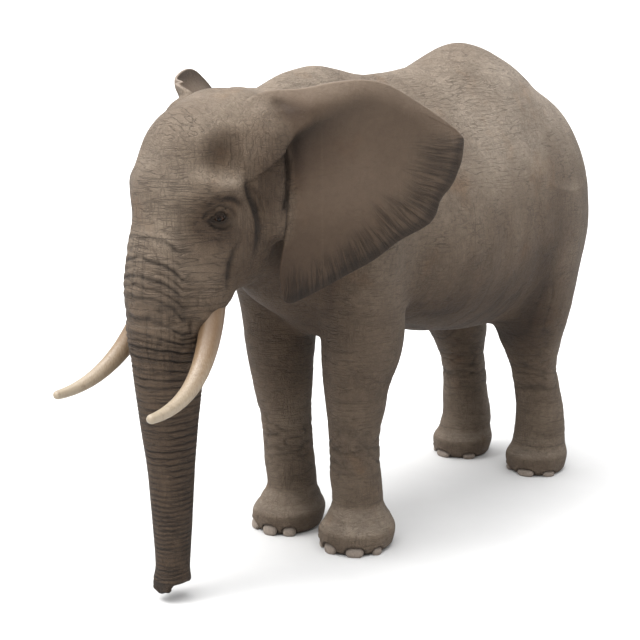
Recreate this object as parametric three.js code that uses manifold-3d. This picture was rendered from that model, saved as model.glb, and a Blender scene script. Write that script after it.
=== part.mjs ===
// An African bush elephant standing at ease, life size, as a still model.
// Millimetres, +Z up. The animal looks along -Y, so its left side is +X. While it is being shaped,
// Y = 0 is under the front feet; at the end the whole group is moved so that the origin lies on the
// floor under the middle of its length.
// The body is described by rounded forms that melt into one another. Each node is a piece of that
// one body, wrapped in a net of facets and trimmed along thin planes, so that neighbours meet face to
// face with a small gap. Ears, tusks, eyes, nails and the tail are built on their own and fitted to it.

import * as THREE from 'three';
import Module from 'manifold-3d';
import { mergeVertices } from 'three/addons/utils/BufferGeometryUtils.js';

const wasm = await Module();
wasm.setup();

// ---- driving dimensions ---------------------------------------------------------------------------
const GAP = 0.3;                    // left between two nodes that touch
const FAR = 9000;                   // larger than the animal, for the blocks that trim it
const OUTSIDE = 50;                 // value of a form on the rim of its net
const WITHERS_HEIGHT = 3000;        // floor to the top of the shoulders
const RUMP_HEIGHT = 3092;           // floor to the top of the rump
const FRONT_FOOT_X = 290;           // half the front track
const REAR_FOOT_X = 331;            // half the rear track
const FRONT_FOOT_Y = 4;             // middle of the front sole
const REAR_FOOT_Y = FRONT_FOOT_Y + 2068;
const FRONT_FOOT_HALF = 238;        // half the width of a front foot at its widest
const REAR_FOOT_HALF = 222;
const LEG_NARROW = 0.95;            // a leg is a little longer than wide
const LEG_DEEP = 1.05;
const LEG_TOP = 2050;               // inside the shoulder and the rump
const BELLY_HEIGHT = 1205;          // floor to the belly
const EYE = new THREE.Vector3(300, -1224, 2228);
const EYE_RADIUS = 34;
const EYE_DEPTH = 0.62;             // how deep the eye sits, in radii from the skin to its middle
const TRUNK_TIP_HEIGHT = 40;        // the trunk hangs clear of the floor
const TRUNK_CUT = 1590;             // height where the trunk leaves the head
const TUSK_BEND = [                 // the tusk's curve, from inside the lip to its tip
  new THREE.Vector3(236, -1222, 1760), new THREE.Vector3(320, -1338, 1430),
  new THREE.Vector3(366, -1556, 1246), new THREE.Vector3(373, -1868, 1254),
];
const TUSK_ROOT_RADIUS = 72;
const TUSK_TIP_RADIUS = 25;
const EAR_ROOT = new THREE.Vector3(420, -850, 0);
const EAR_SPREAD = 27;              // degrees between the ear and the line of the body
const EAR_THICKNESS = 26;
const EAR_ROOT_THICKNESS = 80;
const EAR_RIM_THICKNESS = 16;
const TUFT_CUT = 1330;              // height where the tuft of the tail begins
const TUFT_LENGTH = 330;

const SKIN = 0x6f6458;
const EAR_SKIN = 0x5f544a;
const IVORY = 0xd8c4a4;
const EYE_BROWN = 0x2a1d16;
const TUFT_BLACK = 0x1f1b18;

const { clamp, lerp, degToRad, smoothstep } = THREE.MathUtils;
const along = (from, to, t) => new THREE.Vector3().lerpVectors(from, to, t);
const point = (x, y, z) => new THREE.Vector3(x, y, z);

// ---- rounded forms --------------------------------------------------------------------------------
// Each form is a function of x, y, z that is negative inside, zero on the skin and positive outside,
// and close to the true distance in millimetres.

// An egg with its own radius along each axis, pitched about the X axis, nose down when positive.
function egg(centre, radii, pitch = 0) {
  const cos = Math.cos(degToRad(pitch));
  const sin = Math.sin(degToRad(pitch));
  return (x, y, z) => {
    const dx = x - centre[0];
    const dy = y - centre[1];
    const dz = z - centre[2];
    const px = dx / radii[0];
    const py = (dy * cos - dz * sin) / radii[1];
    const pz = (dy * sin + dz * cos) / radii[2];
    const near = Math.hypot(px, py, pz);
    const slope = Math.hypot(px / radii[0], py / radii[1], pz / radii[2]);
    return slope > 1e-9 ? (near * (near - 1)) / slope : -Math.min(...radii);
  };
}

// A tapered rod with round ends. flat < 1 makes it thinner across than it is from front to back.
function rod(from, to, startRadius, endRadius, flat = 1) {
  const dx = (to[0] - from[0]);
  const dy = to[1] - from[1];
  const dz = to[2] - from[2];
  const length = dx * dx + dy * dy + dz * dz;
  return (x, y, z) => {
    const t = clamp(((x - from[0]) * dx + (y - from[1]) * dy + (z - from[2]) * dz) / length, 0, 1);
    const px = (x - from[0] - t * dx) / flat;
    const py = y - from[1] - t * dy;
    const pz = z - from[2] - t * dz;
    return (Math.hypot(px, py, pz) - lerp(startRadius, endRadius, t)) * Math.min(1, Math.sqrt(flat));
  };
}

// Forms melted together, with a fillet about as wide as softness.
function melted(softness, ...forms) {
  return (x, y, z) => {
    let value = forms[0](x, y, z);
    for (let i = 1; i < forms.length; i += 1) {
      const other = forms[i](x, y, z);
      const mix = Math.max(softness - Math.abs(value - other), 0) / softness;
      value = Math.min(value, other) - (mix * mix * softness) / 4;
    }
    return value;
  };
}

// A form with a soft hollow pressed into it.
function hollowed(softness, form, ...hollows) {
  return (x, y, z) => {
    let value = form(x, y, z);
    for (const hollow of hollows) {
      const other = -hollow(x, y, z);
      const mix = Math.max(softness - Math.abs(value - other), 0) / softness;
      value = Math.max(value, other) + (mix * mix * softness) / 4;
    }
    return value;
  };
}

const bothSides = (form) => (x, y, z) => form(Math.abs(x), y, z);

// A smooth curve through [place, value] pairs, level beyond its ends.
function profile(pairs) {
  const places = pairs.map((pair) => pair[0]);
  const values = pairs.map((pair) => pair[1]);
  const last = pairs.length - 1;
  const slopes = places.map((_, i) => {
    if (i === 0 || i === last) {
      const j = Math.max(i - 1, 0);
      return (values[j + 1] - values[j]) / (places[j + 1] - places[j]);
    }
    const before = (values[i] - values[i - 1]) / (places[i] - places[i - 1]);
    const after = (values[i + 1] - values[i]) / (places[i + 1] - places[i]);
    return before * after <= 0 ? 0 : (2 * before * after) / (before + after);
  });
  return (place) => {
    if (place <= places[0]) return values[0];
    if (place >= places[last]) return values[last];
    let i = 0;
    while (place > places[i + 1]) i += 1;
    const width = places[i + 1] - places[i];
    const t = (place - places[i]) / width;
    const t2 = t * t;
    const t3 = t2 * t;
    return values[i] * (2 * t3 - 3 * t2 + 1) + slopes[i] * width * (t3 - 2 * t2 + t)
      + values[i + 1] * (3 * t2 - 2 * t3) + slopes[i + 1] * width * (t3 - t2);
  };
}

// ---- the barrel of the body -----------------------------------------------------------------------
// Sections across the spine. Their places run from 0 at the chest to 1 at the seat, with the spacing
// of a circle, so that both ends close as round caps.
const CHEST_FRONT = -700;
const SEAT_BACK = 2570;

function barrelPlace(y) {
  const t = clamp((y - CHEST_FRONT) / (SEAT_BACK - CHEST_FRONT), 0, 1);
  return Math.acos(1 - 2 * t) / Math.PI;
}

const onBarrel = (pairs) => profile(pairs.map(([y, value]) => [barrelPlace(y), value]));

const backLine = onBarrel([
  [CHEST_FRONT, 2250], [-560, 2840], [-300, 2975], [-60, WITHERS_HEIGHT], [450, 2925],
  [900, 2955], [1410, RUMP_HEIGHT], [1900, 2970], [2280, 2680], [2480, 2330], [SEAT_BACK, 1960],
]);
const bellyLine = onBarrel([
  [CHEST_FRONT, 2050], [-560, 1700], [-250, 1520], [250, 1400], [900, BELLY_HEIGHT],
  [1500, 1140], [1900, 1190], [2350, 1490], [SEAT_BACK, 1900],
]);
const flankLine = onBarrel([
  [CHEST_FRONT, 10], [-560, 340], [-200, 480], [300, 590], [900, 690], [1400, 700],
  [1900, 600], [2300, 430], [SEAT_BACK, 10],
]);
const widestLevel = onBarrel([[CHEST_FRONT, 2150], [0, 1950], [900, 1850], [1700, 1950], [SEAT_BACK, 1930]]);
const ROOF_POWER = 1.72;            // below 2 the back slopes like a roof
const KEEL_POWER = 2.15;            // above 2 the belly is fuller than an ellipse

function barrelRaw(x, y, z) {
  const level = widestLevel(barrelPlace(y));
  const wide = Math.max(flankLine(barrelPlace(y)), 1);
  const above = z > level;
  const tall = above ? backLine(barrelPlace(y)) - level : level - bellyLine(barrelPlace(y));
  const power = above ? ROOF_POWER : KEEL_POWER;
  const px = Math.abs(x) / wide;
  const pz = Math.abs(z - level) / Math.max(tall, 1);
  return (px ** power + pz ** power) ** (1 / power) - 1;
}

function barrel(x, yGiven, z) {
  const y = clamp(yGiven, CHEST_FRONT + 30, SEAT_BACK - 30);
  const step = 4;
  const here = barrelRaw(x, y, z);
  const slopeX = (barrelRaw(x + step, y, z) - here) / step;
  const slopeY = (barrelRaw(x, y + step, z) - here) / step;
  const slopeZ = (barrelRaw(x, y, z + step) - here) / step;
  const slope = Math.max(Math.hypot(slopeX, slopeY, slopeZ), 1 / 1200);
  return here / slope + Math.abs(yGiven - y) * 0.8;
}

// ---- legs -----------------------------------------------------------------------------------------
// A leg is an upright column from the sole into the body, given by its height, middle x, middle y and
// half width.
function column(rows) {
  const [middleX, middleY, half] = [1, 2, 3].map((k) => profile(rows.map((row) => [row[0], row[k]])));
  return (x, y, z) => {
    const wide = half(z) * LEG_NARROW;
    const deep = half(z) * LEG_DEEP;
    const dx = (x - middleX(z)) / wide;
    const dy = (y - middleY(z)) / deep;
    const near = Math.hypot(dx, dy);
    const slope = Math.hypot(dx / wide, dy / deep);
    return Math.max(slope > 1e-9 ? (near * (near - 1)) / slope : -wide, z - LEG_TOP);
  };
}

const frontLeg = melted(
  120,
  egg([385, -60, 2120], [195, 380, 600], -6),
  egg([400, 80, 1450], [124, 172, 330]),
  column([
    [0, FRONT_FOOT_X, FRONT_FOOT_Y, 188], [30, FRONT_FOOT_X, FRONT_FOOT_Y, 220],
    [120, 287, 8, FRONT_FOOT_HALF], [200, 284, 20, 200], [300, 276, 22, 163],
    [450, 276, 4, 166], [600, 275, -10, 163], [750, 282, -23, 166], [900, 298, -31, 184],
    [1100, 309, -37, 209], [1300, 324, -34, 232], [1950, 370, -130, 240],
  ]),
);

const rearLeg = melted(
  130,
  egg([332, 1915, 1950], [305, 539, 760], -10),
  column([
    [0, REAR_FOOT_X, REAR_FOOT_Y, 180], [30, REAR_FOOT_X, REAR_FOOT_Y, 206],
    [120, 329, 2076, REAR_FOOT_HALF], [200, 328, 2096, 197], [300, 324, 2108, 188],
    [450, 327, 2090, 176], [600, 317, 2063, 169], [750, 311, 2022, 167], [850, 311, 1990, 184],
    [950, 314, 1962, 214], [1050, 325, 1930, 240], [1150, 338, 1908, 264], [1300, 335, 1895, 304],
    [1500, 325, 1880, 325], [1850, 305, 1850, 330],
  ]),
);

// ---- neck, head and trunk -------------------------------------------------------------------------
const neckForm = melted(
  160,
  rod([0, -250, 2420], [0, -840, 2500], 430, 330, 0.92),
  rod([0, -300, 1980], [0, -800, 2120], 330, 255, 0.95),
);

// The brisket hangs between the front legs like a keel.
const brisket = rod([0, -440, 1775], [0, -60, 1500], 150, 150, 0.85);

const skull = melted(
  110,
  egg([0, -900, 2530], [340, 380, 358], -8),
  egg([0, -1115, 2440], [300, 325, 385], -14),
  bothSides(egg([140, -820, 2682], [175, 250, 192])),
  bothSides(egg([205, -1180, 2355], [115, 125, 105])),
  bothSides(egg([246, -1205, 2412], [66, 112, 52])),
  bothSides(egg([245, -1000, 2115], [150, 235, 275], 8)),
  bothSides(egg([215, -1060, 1965], [125, 190, 125], 8)),
  egg([0, -930, 2005], [215, 290, 165], 6),
);
const earBase = bothSides(egg([335, -875, 2520], [88, 115, 290], -6));
const trunkRoot = melted(
  110,
  rod([0, -1230, 2330], [0, -1284, 1980], 260, 230),
  rod([0, -1284, 1980], [0, -1314, 1800], 230, 230),
  rod([0, -1314, 1800], [0, -1345, 1560], 230, 216),
);
// The flesh that ties the front edge of the ear to the cheek.
const earFoot = bothSides(rod([395, -874, 2330], [404, -868, 2130], 54, 42));
const tuskSheath = bothSides(melted(
  70,
  rod([190, -1190, 2120], [226, -1222, 1825], 118, 100),
  rod([226, -1222, 1825], [222, -1285, 1715], 98, 66),
));
const jawForm = melted(
  90,
  bothSides(rod([150, -890, 1985], [70, -1080, 1810], 118, 76)),
  rod([0, -1060, 1825], [0, -1160, 1735], 90, 46),
);
const temple = bothSides(egg([343, -1192, 2590], [90, 140, 150]));

// ---- the trunk below the head ---------------------------------------------------------------------
const trunkCentre = profile([[0, -1362], [300, -1343], [700, -1342], [1100, -1350], [1600, -1347]]);
const trunkWidth = profile([
  [0, 70], [60, 88], [110, 102], [190, 98], [250, 101], [520, 118], [760, 132], [1000, 157],
  [1300, 190], [1600, 218],
]);
const trunkForm = (x, y, z) => Math.hypot(x, y - trunkCentre(z)) - trunkWidth(z);

// Rings of skin round the trunk: far apart at the forehead, closer and closer towards the tip.
const HIGH_RINGS = [2130, 2027, 1928, 1811, 1697, 1613, 1530, 1471, 1406, 1351];
const LOW_RING_SPACING = 58;
function ringHeights(low) {
  const heights = [...HIGH_RINGS];
  while (heights.at(-1) > low) heights.push(heights.at(-1) - LOW_RING_SPACING);
  return heights;
}
const RINGS = ringHeights(TRUNK_TIP_HEIGHT + 100);
function ringDepth(z) {
  const below = RINGS.findIndex((height) => height <= z);
  if (below < 1) return 0;
  const gap = RINGS[below - 1] - RINGS[below];
  const t = (z - RINGS[below]) / gap;
  return Math.sin(Math.PI * t) * gap * 0.07;
}

// ---- the whole body -------------------------------------------------------------------------------
const shoulders = melted(120, barrel, bothSides(frontLeg));
const torsoForm = melted(150, shoulders, bothSides(rearLeg), neckForm, brisket);
const neckAndChestForm = melted(120, torsoForm, skull);
const headShape = hollowed(
  70,
  melted(90, skull, trunkRoot, tuskSheath, earBase, earFoot),
  temple,
);
const headForm = (x, y, z) => {
  const value = melted(120, headShape, neckForm)(x, y, z);
  const front = clamp((-1150 - y) / 150, 0, 1);
  return value - front * ringDepth(z);
};

// ---- from forms to facets -------------------------------------------------------------------------
// A net of facets round a form, between two corners: one net point in each cell that the skin passes
// through, pulled onto the skin, and one four-sided facet for each cell edge that crosses it.
// Each axis is cut at its own lines, closer together where the skin needs more facets.
function netAround(form, ...lines) {
  const count = lines.map((places) => places.length);
  const place = (axis, n) => {
    const whole = Math.min(Math.floor(n), count[axis] - 2);
    return lerp(lines[axis][whole], lines[axis][whole + 1], n - whole);
  };
  const sampleAt = (i, j, k) => (k * count[1] + j) * count[0] + i;
  const values = new Float64Array(count[0] * count[1] * count[2]);
  const rim = (i, j, k) => [i, j, k].some((n, axis) => n === 0 || n === count[axis] - 1);
  for (let k = 0; k < count[2]; k += 1) {
    for (let j = 0; j < count[1]; j += 1) {
      for (let i = 0; i < count[0]; i += 1) {
        const value = rim(i, j, k) ? OUTSIDE : form(lines[0][i], lines[1][j], lines[2][k]);
        values[sampleAt(i, j, k)] = Math.abs(value) < 1e-3 ? 1e-3 : value;
      }
    }
  }
  const corners = [];
  for (let n = 0; n < 8; n += 1) corners.push([n & 1, (n >> 1) & 1, (n >> 2) & 1]);
  const edges = [];
  for (let a = 0; a < 8; a += 1) {
    for (let bit = 1; bit < 8; bit *= 2) if (!(a & bit)) edges.push([a, a | bit]);
  }
  const positions = [];
  const netPoint = new Int32Array(values.length).fill(-1);
  for (let k = 0; k < count[2] - 1; k += 1) {
    for (let j = 0; j < count[1] - 1; j += 1) {
      for (let i = 0; i < count[0] - 1; i += 1) {
        const at = corners.map(([a, b, c]) => values[sampleAt(i + a, j + b, k + c)]);
        const sum = [0, 0, 0];
        let crossings = 0;
        for (const [a, b] of edges) {
          if ((at[a] < 0) !== (at[b] < 0)) {
            const t = at[a] / (at[a] - at[b]);
            for (let n = 0; n < 3; n += 1) sum[n] += lerp(corners[a][n], corners[b][n], t);
            crossings += 1;
          }
        }
        if (crossings > 0) {
          let p = [i, j, k].map((index, n) => place(n, index + sum[n] / crossings));
          const atRim = [i, j, k].some((index, n) => index === 0 || index >= count[n] - 2);
          const cell = [i, j, k].map((index, n) => lines[n][index + 1] - lines[n][index]);
          if (!atRim) p = pulledToSkin(form, p, Math.min(...cell));
          netPoint[sampleAt(i, j, k)] = positions.length / 3;
          positions.push(...p);
        }
      }
    }
  }
  const index = [];
  const facet = (a, b, c, d, flip) => {
    const quad = flip ? [a, d, c, b] : [a, b, c, d];
    const at = quad.map((n) => point(...positions.slice(3 * n, 3 * n + 3)));
    if (at[0].distanceTo(at[2]) < at[1].distanceTo(at[3])) {
      index.push(quad[0], quad[1], quad[2], quad[0], quad[2], quad[3]);
    } else {
      index.push(quad[1], quad[2], quad[3], quad[1], quad[3], quad[0]);
    }
  };
  for (let k = 0; k < count[2] - 1; k += 1) {
    for (let j = 0; j < count[1] - 1; j += 1) {
      for (let i = 0; i < count[0] - 1; i += 1) {
        const here = values[sampleAt(i, j, k)] < 0;
        const net = (a, b, c) => netPoint[sampleAt(i - a, j - b, k - c)];
        if (j && k && here !== values[sampleAt(i + 1, j, k)] < 0) {
          facet(net(0, 0, 0), net(0, 1, 0), net(0, 1, 1), net(0, 0, 1), !here);
        }
        if (i && k && here !== values[sampleAt(i, j + 1, k)] < 0) {
          facet(net(0, 0, 0), net(0, 0, 1), net(1, 0, 1), net(1, 0, 0), !here);
        }
        if (i && j && here !== values[sampleAt(i, j, k + 1)] < 0) {
          facet(net(0, 0, 0), net(1, 0, 0), net(1, 1, 0), net(0, 1, 0), !here);
        }
      }
    }
  }
  const geometry = new THREE.BufferGeometry();
  geometry.setAttribute('position', new THREE.Float32BufferAttribute(positions, 3));
  geometry.setIndex(index);
  return geometry;
}

// Places from low to high, spacing apart; spacing may be a function of the place.
function linesAt(low, high, spacing) {
  const places = [low];
  while (places.at(-1) < high) {
    const step = typeof spacing === 'function' ? spacing(places.at(-1)) : spacing;
    places.push(places.at(-1) + step);
  }
  return places;
}

// Lines to both sides of the middle of the animal, so that both halves get the same net.
function evenLines(reach, spacing) {
  const half = linesAt(spacing / 2, reach, spacing);
  return [...half.map((place) => -place).reverse(), ...half];
}

function slopeOf(form, x, y, z) {
  const step = 1.5;
  return point(
    form(x + step, y, z) - form(x - step, y, z),
    form(x, y + step, z) - form(x, y - step, z),
    form(x, y, z + step) - form(x, y, z - step),
  ).divideScalar(2 * step);
}

// Two steps down the slope of the form, no further than half a cell.
function pulledToSkin(form, start, reach) {
  let [x, y, z] = start;
  for (let turn = 0; turn < 2; turn += 1) {
    const value = form(x, y, z);
    const slope = slopeOf(form, x, y, z);
    const steep = Math.max(slope.lengthSq(), 0.05);
    const move = slope.multiplyScalar(clamp(-value / steep, -reach / 2, reach / 2));
    x += move.x;
    y += move.y;
    z += move.z;
  }
  return [x, y, z];
}

// The same net, moved outwards by the gap, to cut neighbours with.
function withClearance(net, form) {
  const grown = net.clone();
  const places = grown.attributes.position;
  for (let i = 0; i < places.count; i += 1) {
    const p = new THREE.Vector3().fromBufferAttribute(places, i);
    p.addScaledVector(slopeOf(form, p.x, p.y, p.z).normalize(), GAP);
    places.setXYZ(i, p.x, p.y, p.z);
  }
  return grown;
}

// ---- joining and cutting --------------------------------------------------------------------------
function solidOf(geometry) {
  const bare = geometry.clone();
  bare.deleteAttribute('normal');
  bare.deleteAttribute('uv');
  const closed = mergeVertices(bare, 1e-3);
  return new wasm.Manifold(new wasm.Mesh({
    numProp: 3,
    vertProperties: Float32Array.from(closed.attributes.position.array),
    triVerts: Uint32Array.from(closed.index.array),
  }));
}

// The largest closed surface of a solid, as a geometry.
function geometryOf(solid) {
  const pieces = solid.decompose().sort((a, b) => b.volume() - a.volume());
  const mesh = pieces[0].getMesh();
  const geometry = new THREE.BufferGeometry();
  geometry.setAttribute('position', new THREE.Float32BufferAttribute(mesh.vertProperties, 3));
  geometry.setIndex(Array.from(mesh.triVerts));
  return geometry;
}

// Everything on one side of a plane through a point, moved by inset away from the plane.
function beyond(through, facing, inset = GAP / 2) {
  const direction = point(...facing).normalize();
  const block = new THREE.BoxGeometry(FAR, FAR, FAR);
  block.translate(0, 0, FAR / 2 + inset);
  block.applyQuaternion(new THREE.Quaternion().setFromUnitVectors(point(0, 0, 1), direction));
  block.translate(...through);
  return solidOf(block);
}

const opposite = (facing) => facing.map((n) => -n);

function mirrored(geometry) {
  const copy = geometry.clone();
  copy.scale(-1, 1, 1);
  const index = copy.index.array;
  for (let i = 0; i < index.length; i += 3) [index[i], index[i + 1]] = [index[i + 1], index[i]];
  return copy;
}

// ---- where the nodes part -------------------------------------------------------------------------
const CHEST_CUT = [[0, 470, 0], [0, 1, 0]];
const RUMP_CUT = [[0, 1330, 0], [0, 1, 0]];
const NECK_CUT = [[0, -520, 2300], [0, -1, 0.12]];
const HEAD_CUT = [[0, -700, 2300], [0, -1, -0.1]];

// A leg takes what lies outside and below a slanting plane, between two upright ones.
function legRegion(x, z, front, back, inset) {
  return beyond([x, 0, z], [0.64, 0, -0.77], inset)
    .intersect(beyond([0, front, 0], [0, 1, 0], inset))
    .intersect(beyond([0, back, 0], [0, -1, 0], inset));
}
const frontLegRegion = (inset) => legRegion(95, 1290, -420, 420, inset);
const rearLegRegion = (inset) => legRegion(70, 1130, 1340, 2600, inset);
const otherSide = (solid) => solidOf(mirrored(geometryOf(solid)));

// ---- scene graph ----------------------------------------------------------------------------------
const elephant = new THREE.Group();

function skinMaterial(color = SKIN) {
  return new THREE.MeshStandardMaterial({ color, roughness: 0.86, metalness: 0 });
}

function addNode(name, geometry, material = skinMaterial()) {
  const mesh = new THREE.Mesh(geometry, material);
  mesh.name = name;
  elephant.add(mesh);
  return mesh;
}

function addPair(name, geometry, material) {
  addNode(`${name}_left`, geometry, material);
  addNode(`${name}_right`, mirrored(geometry), material?.clone());
}

// ---- torso and neck -------------------------------------------------------------------------------
const torsoNet = netAround(
  torsoForm, evenLines(900, 138), linesAt(-1000, 2750, 180), linesAt(900, 3250, 130),
);

function buildTorso() {
  const legs = [frontLegRegion(-GAP / 2), rearLegRegion(-GAP / 2)];
  let body = solidOf(torsoNet);
  for (const leg of legs) body = body.subtract(leg).subtract(otherSide(leg));
  const [neckPoint, neckFacing] = NECK_CUT;
  const chest = beyond(CHEST_CUT[0], opposite(CHEST_CUT[1]))
    .intersect(beyond(neckPoint, opposite(neckFacing)));
  const belly = beyond(...CHEST_CUT).intersect(beyond(RUMP_CUT[0], opposite(RUMP_CUT[1])));
  addNode('torso_chest', geometryOf(body.intersect(chest)));
  addNode('torso_belly', geometryOf(body.intersect(belly)));
  addNode('torso_rump', geometryOf(body.intersect(beyond(...RUMP_CUT))));
  const neckNet = netAround(
    neckAndChestForm, evenLines(700, 100), linesAt(-1150, -200, 110), linesAt(1200, 3250, 115),
  );
  const neck = solidOf(neckNet)
    .intersect(beyond(...NECK_CUT))
    .intersect(beyond(HEAD_CUT[0], opposite(HEAD_CUT[1])));
  addNode('neck', geometryOf(neck));
}

// ---- legs and feet --------------------------------------------------------------------------------
const UP = [0, 0, 1];
const DOWN = [0, 0, -1];

const NAIL_INSET = 26;             // from the edge of the sole to the middle of a nail
const NAIL_THICKNESS = 26;

// One broad nail: a flattened egg leaning against the front of the sole.
function nail(reach, bearing, halfWidth, halfHeight) {
  const shape = new THREE.SphereGeometry(1, 7, 5);
  shape.scale(halfWidth, NAIL_THICKNESS, halfHeight);
  shape.rotateX(degToRad(-16));
  shape.translate(0, -reach, halfHeight * 0.66);
  shape.rotateZ(degToRad(bearing));
  return shape;
}

function buildLeg(leg) {
  const [x, y] = leg.middle;
  const [knee, ankle] = leg.cuts;
  const acrossX = (reach, spacing) => linesAt(x - reach, x + reach, spacing);
  const acrossY = (reach, spacing) => linesAt(y - reach, y + reach, spacing);
  const upper = netAround(
    torsoForm, acrossX(560, 98), acrossY(leg.reach, 104), linesAt(knee - 200, 2500, 130),
  );
  const lower = netAround(
    torsoForm, acrossX(430, 86), acrossY(leg.reach, 88), linesAt(ankle - 220, knee + 220, 130),
  );
  const foot = netAround(
    torsoForm, acrossX(430, 86), acrossY(leg.reach, 86), linesAt(-120, ankle + 150, 72),
  );
  const thigh = solidOf(upper).intersect(leg.region).intersect(beyond([0, 0, knee], UP));
  const shin = solidOf(lower)
    .intersect(beyond([0, 0, knee], DOWN))
    .intersect(beyond([0, 0, ankle], UP));
  let paw = solidOf(foot).intersect(beyond([0, 0, ankle], DOWN));
  for (const [bearing, halfWidth, halfHeight] of leg.nails) {
    const angle = degToRad(bearing);
    const wide = leg.footHalf * LEG_NARROW;
    const long = leg.footHalf * LEG_DEEP;
    const reach = 1 / Math.hypot(Math.sin(angle) / wide, Math.cos(angle) / long);
    const shape = nail(reach - NAIL_INSET, bearing, halfWidth, halfHeight);
    shape.translate(...leg.footMiddle, 0);
    paw = paw.add(solidOf(shape));
  }
  paw = paw.intersect(beyond([0, 0, 0], UP, 0));
  addPair(`${leg.name}_leg_upper`, geometryOf(thigh));
  addPair(`${leg.name}_leg_lower`, geometryOf(shin));
  addPair(`${leg.name}_foot`, geometryOf(paw));
}

const FRONT_LEG = {
  name: 'front',
  region: frontLegRegion(GAP / 2),
  middle: [330, 0],
  reach: 660,
  cuts: [1180, 330],
  footMiddle: [FRONT_FOOT_X, FRONT_FOOT_Y],
  footHalf: FRONT_FOOT_HALF,
  nails: [[-42, 46, 44], [-9, 54, 48], [34, 60, 45], [74, 38, 38]],   // bearing, half width, half height
};
const REAR_LEG = {
  name: 'rear',
  region: rearLegRegion(GAP / 2),
  middle: [360, 1960],
  reach: 920,
  cuts: [1080, 300],
  footMiddle: [REAR_FOOT_X, REAR_FOOT_Y],
  footHalf: REAR_FOOT_HALF,
  nails: [[-48, 50, 32], [9, 66, 37], [57, 50, 30]],
};

// ---- lofts ----------------------------------------------------------------------------------------
// A closed skin over rings of points: each ring is a row of points, and the ends are closed by fans.
function skinOver(rings) {
  const sides = rings[0].length;
  const positions = rings.flat().flatMap((p) => [p.x, p.y, p.z]);
  const index = [];
  for (let i = 0; i + 1 < rings.length; i += 1) {
    for (let j = 0; j < sides; j += 1) {
      const a = i * sides + j;
      const b = i * sides + ((j + 1) % sides);
      index.push(a, b, b + sides, a, b + sides, a + sides);
    }
  }
  const closeEnd = (ring, flip) => {
    const centre = new THREE.Vector3();
    for (const p of rings[ring]) centre.addScaledVector(p, 1 / sides);
    const middle = positions.length / 3;
    positions.push(centre.x, centre.y, centre.z);
    for (let j = 0; j < sides; j += 1) {
      const a = ring * sides + j;
      const b = ring * sides + ((j + 1) % sides);
      index.push(...(flip ? [middle, b, a] : [middle, a, b]));
    }
  };
  closeEnd(0, true);
  closeEnd(rings.length - 1, false);
  const geometry = new THREE.BufferGeometry();
  geometry.setAttribute('position', new THREE.Float32BufferAttribute(positions, 3));
  geometry.setIndex(index);
  return geometry;
}

// An oval ring of points round a centre, in the plane of two directions.
function oval(centre, across, upwards, halfWidth, halfHeight, sides) {
  const ring = [];
  for (let j = 0; j < sides; j += 1) {
    const angle = (2 * Math.PI * j) / sides;
    ring.push(centre.clone()
      .addScaledVector(across, halfWidth * Math.cos(angle))
      .addScaledVector(upwards, halfHeight * Math.sin(angle)));
  }
  return ring;
}

// A limb that follows a curve: size(t) gives its half width and half height at each of the steps.
function limbAlong(curve, steps, sides, size, side = point(1, 0, 0)) {
  const rings = [];
  for (let i = 0; i <= steps; i += 1) {
    const t = i / steps;
    const direction = curve.getTangent(t);
    const upwards = new THREE.Vector3().crossVectors(direction, side).normalize();
    const across = new THREE.Vector3().crossVectors(upwards, direction).normalize();
    const [halfWidth, halfHeight] = size(t);
    rings.push(oval(curve.getPoint(t), across, upwards, halfWidth, halfHeight, sides));
  }
  return skinOver(rings);
}

// ---- head -----------------------------------------------------------------------------------------
const headNet = netAround(
  headForm,
  evenLines(580, 59),
  linesAt(-1660, -480, (y) => (y < -1100 ? 56 : 88)),
  linesAt(1440, 3100, (z) => (z < 2400 ? 57 : 86)),
);
const headClearance = solidOf(withClearance(headNet, headForm));

// Where the skin of a form lies along a ray that starts inside it.
function skinAlong(form, start, direction) {
  let inside = 0;
  let outside = 900;
  for (let turn = 0; turn < 24; turn += 1) {
    const middle = (inside + outside) / 2;
    const p = start.clone().addScaledVector(direction, middle);
    if (form(p.x, p.y, p.z) < 0) inside = middle;
    else outside = middle;
  }
  return start.clone().addScaledVector(direction, inside);
}

const EYE_OUTWARD = point(0.93, -0.36, 0.04).normalize();
const EYE_FORWARD = new THREE.Vector3().crossVectors(EYE_OUTWARD, point(0, 0, 1)).normalize();
const EYE_UPWARD = new THREE.Vector3().crossVectors(EYE_FORWARD, EYE_OUTWARD).normalize();
const eyeSkin = skinAlong(headForm, point(EYE.x - 200, EYE.y + 70, EYE.z), EYE_OUTWARD);
const eyeCentre = eyeSkin.clone().addScaledVector(EYE_OUTWARD, -EYE_RADIUS * EYE_DEPTH);

function eyeball(radius) {
  const ball = new THREE.SphereGeometry(radius, 12, 8);
  ball.translate(eyeCentre.x, eyeCentre.y, eyeCentre.z);
  return ball;
}

// A lid is a crescent from one corner of the eye to the other, bowed up or down over the ball.
function lid(bow, thickness) {
  const steps = 6;
  const rings = [];
  for (let i = 0; i <= steps; i += 1) {
    const angle = Math.PI * (i / steps);
    const sideways = Math.cos(angle) * EYE_RADIUS * 1.12;
    const rise = Math.sin(angle) * bow;
    const bulge = EYE_RADIUS * (0.62 + 0.38 * Math.sin(angle));
    const centre = eyeCentre.clone()
      .addScaledVector(EYE_FORWARD, -sideways)
      .addScaledVector(EYE_UPWARD, rise)
      .addScaledVector(EYE_OUTWARD, bulge);
    const around = EYE_FORWARD.clone().multiplyScalar(Math.cos(angle))
      .addScaledVector(EYE_UPWARD, Math.sin(angle) * Math.sign(bow));
    const half = thickness * (0.45 + 0.55 * Math.sin(angle));
    const ring = oval(centre, around, EYE_OUTWARD, half, half * 0.8, 5);
    rings.push(bow > 0 ? ring.reverse() : ring);
  }
  return solidOf(skinOver(rings));
}

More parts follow.
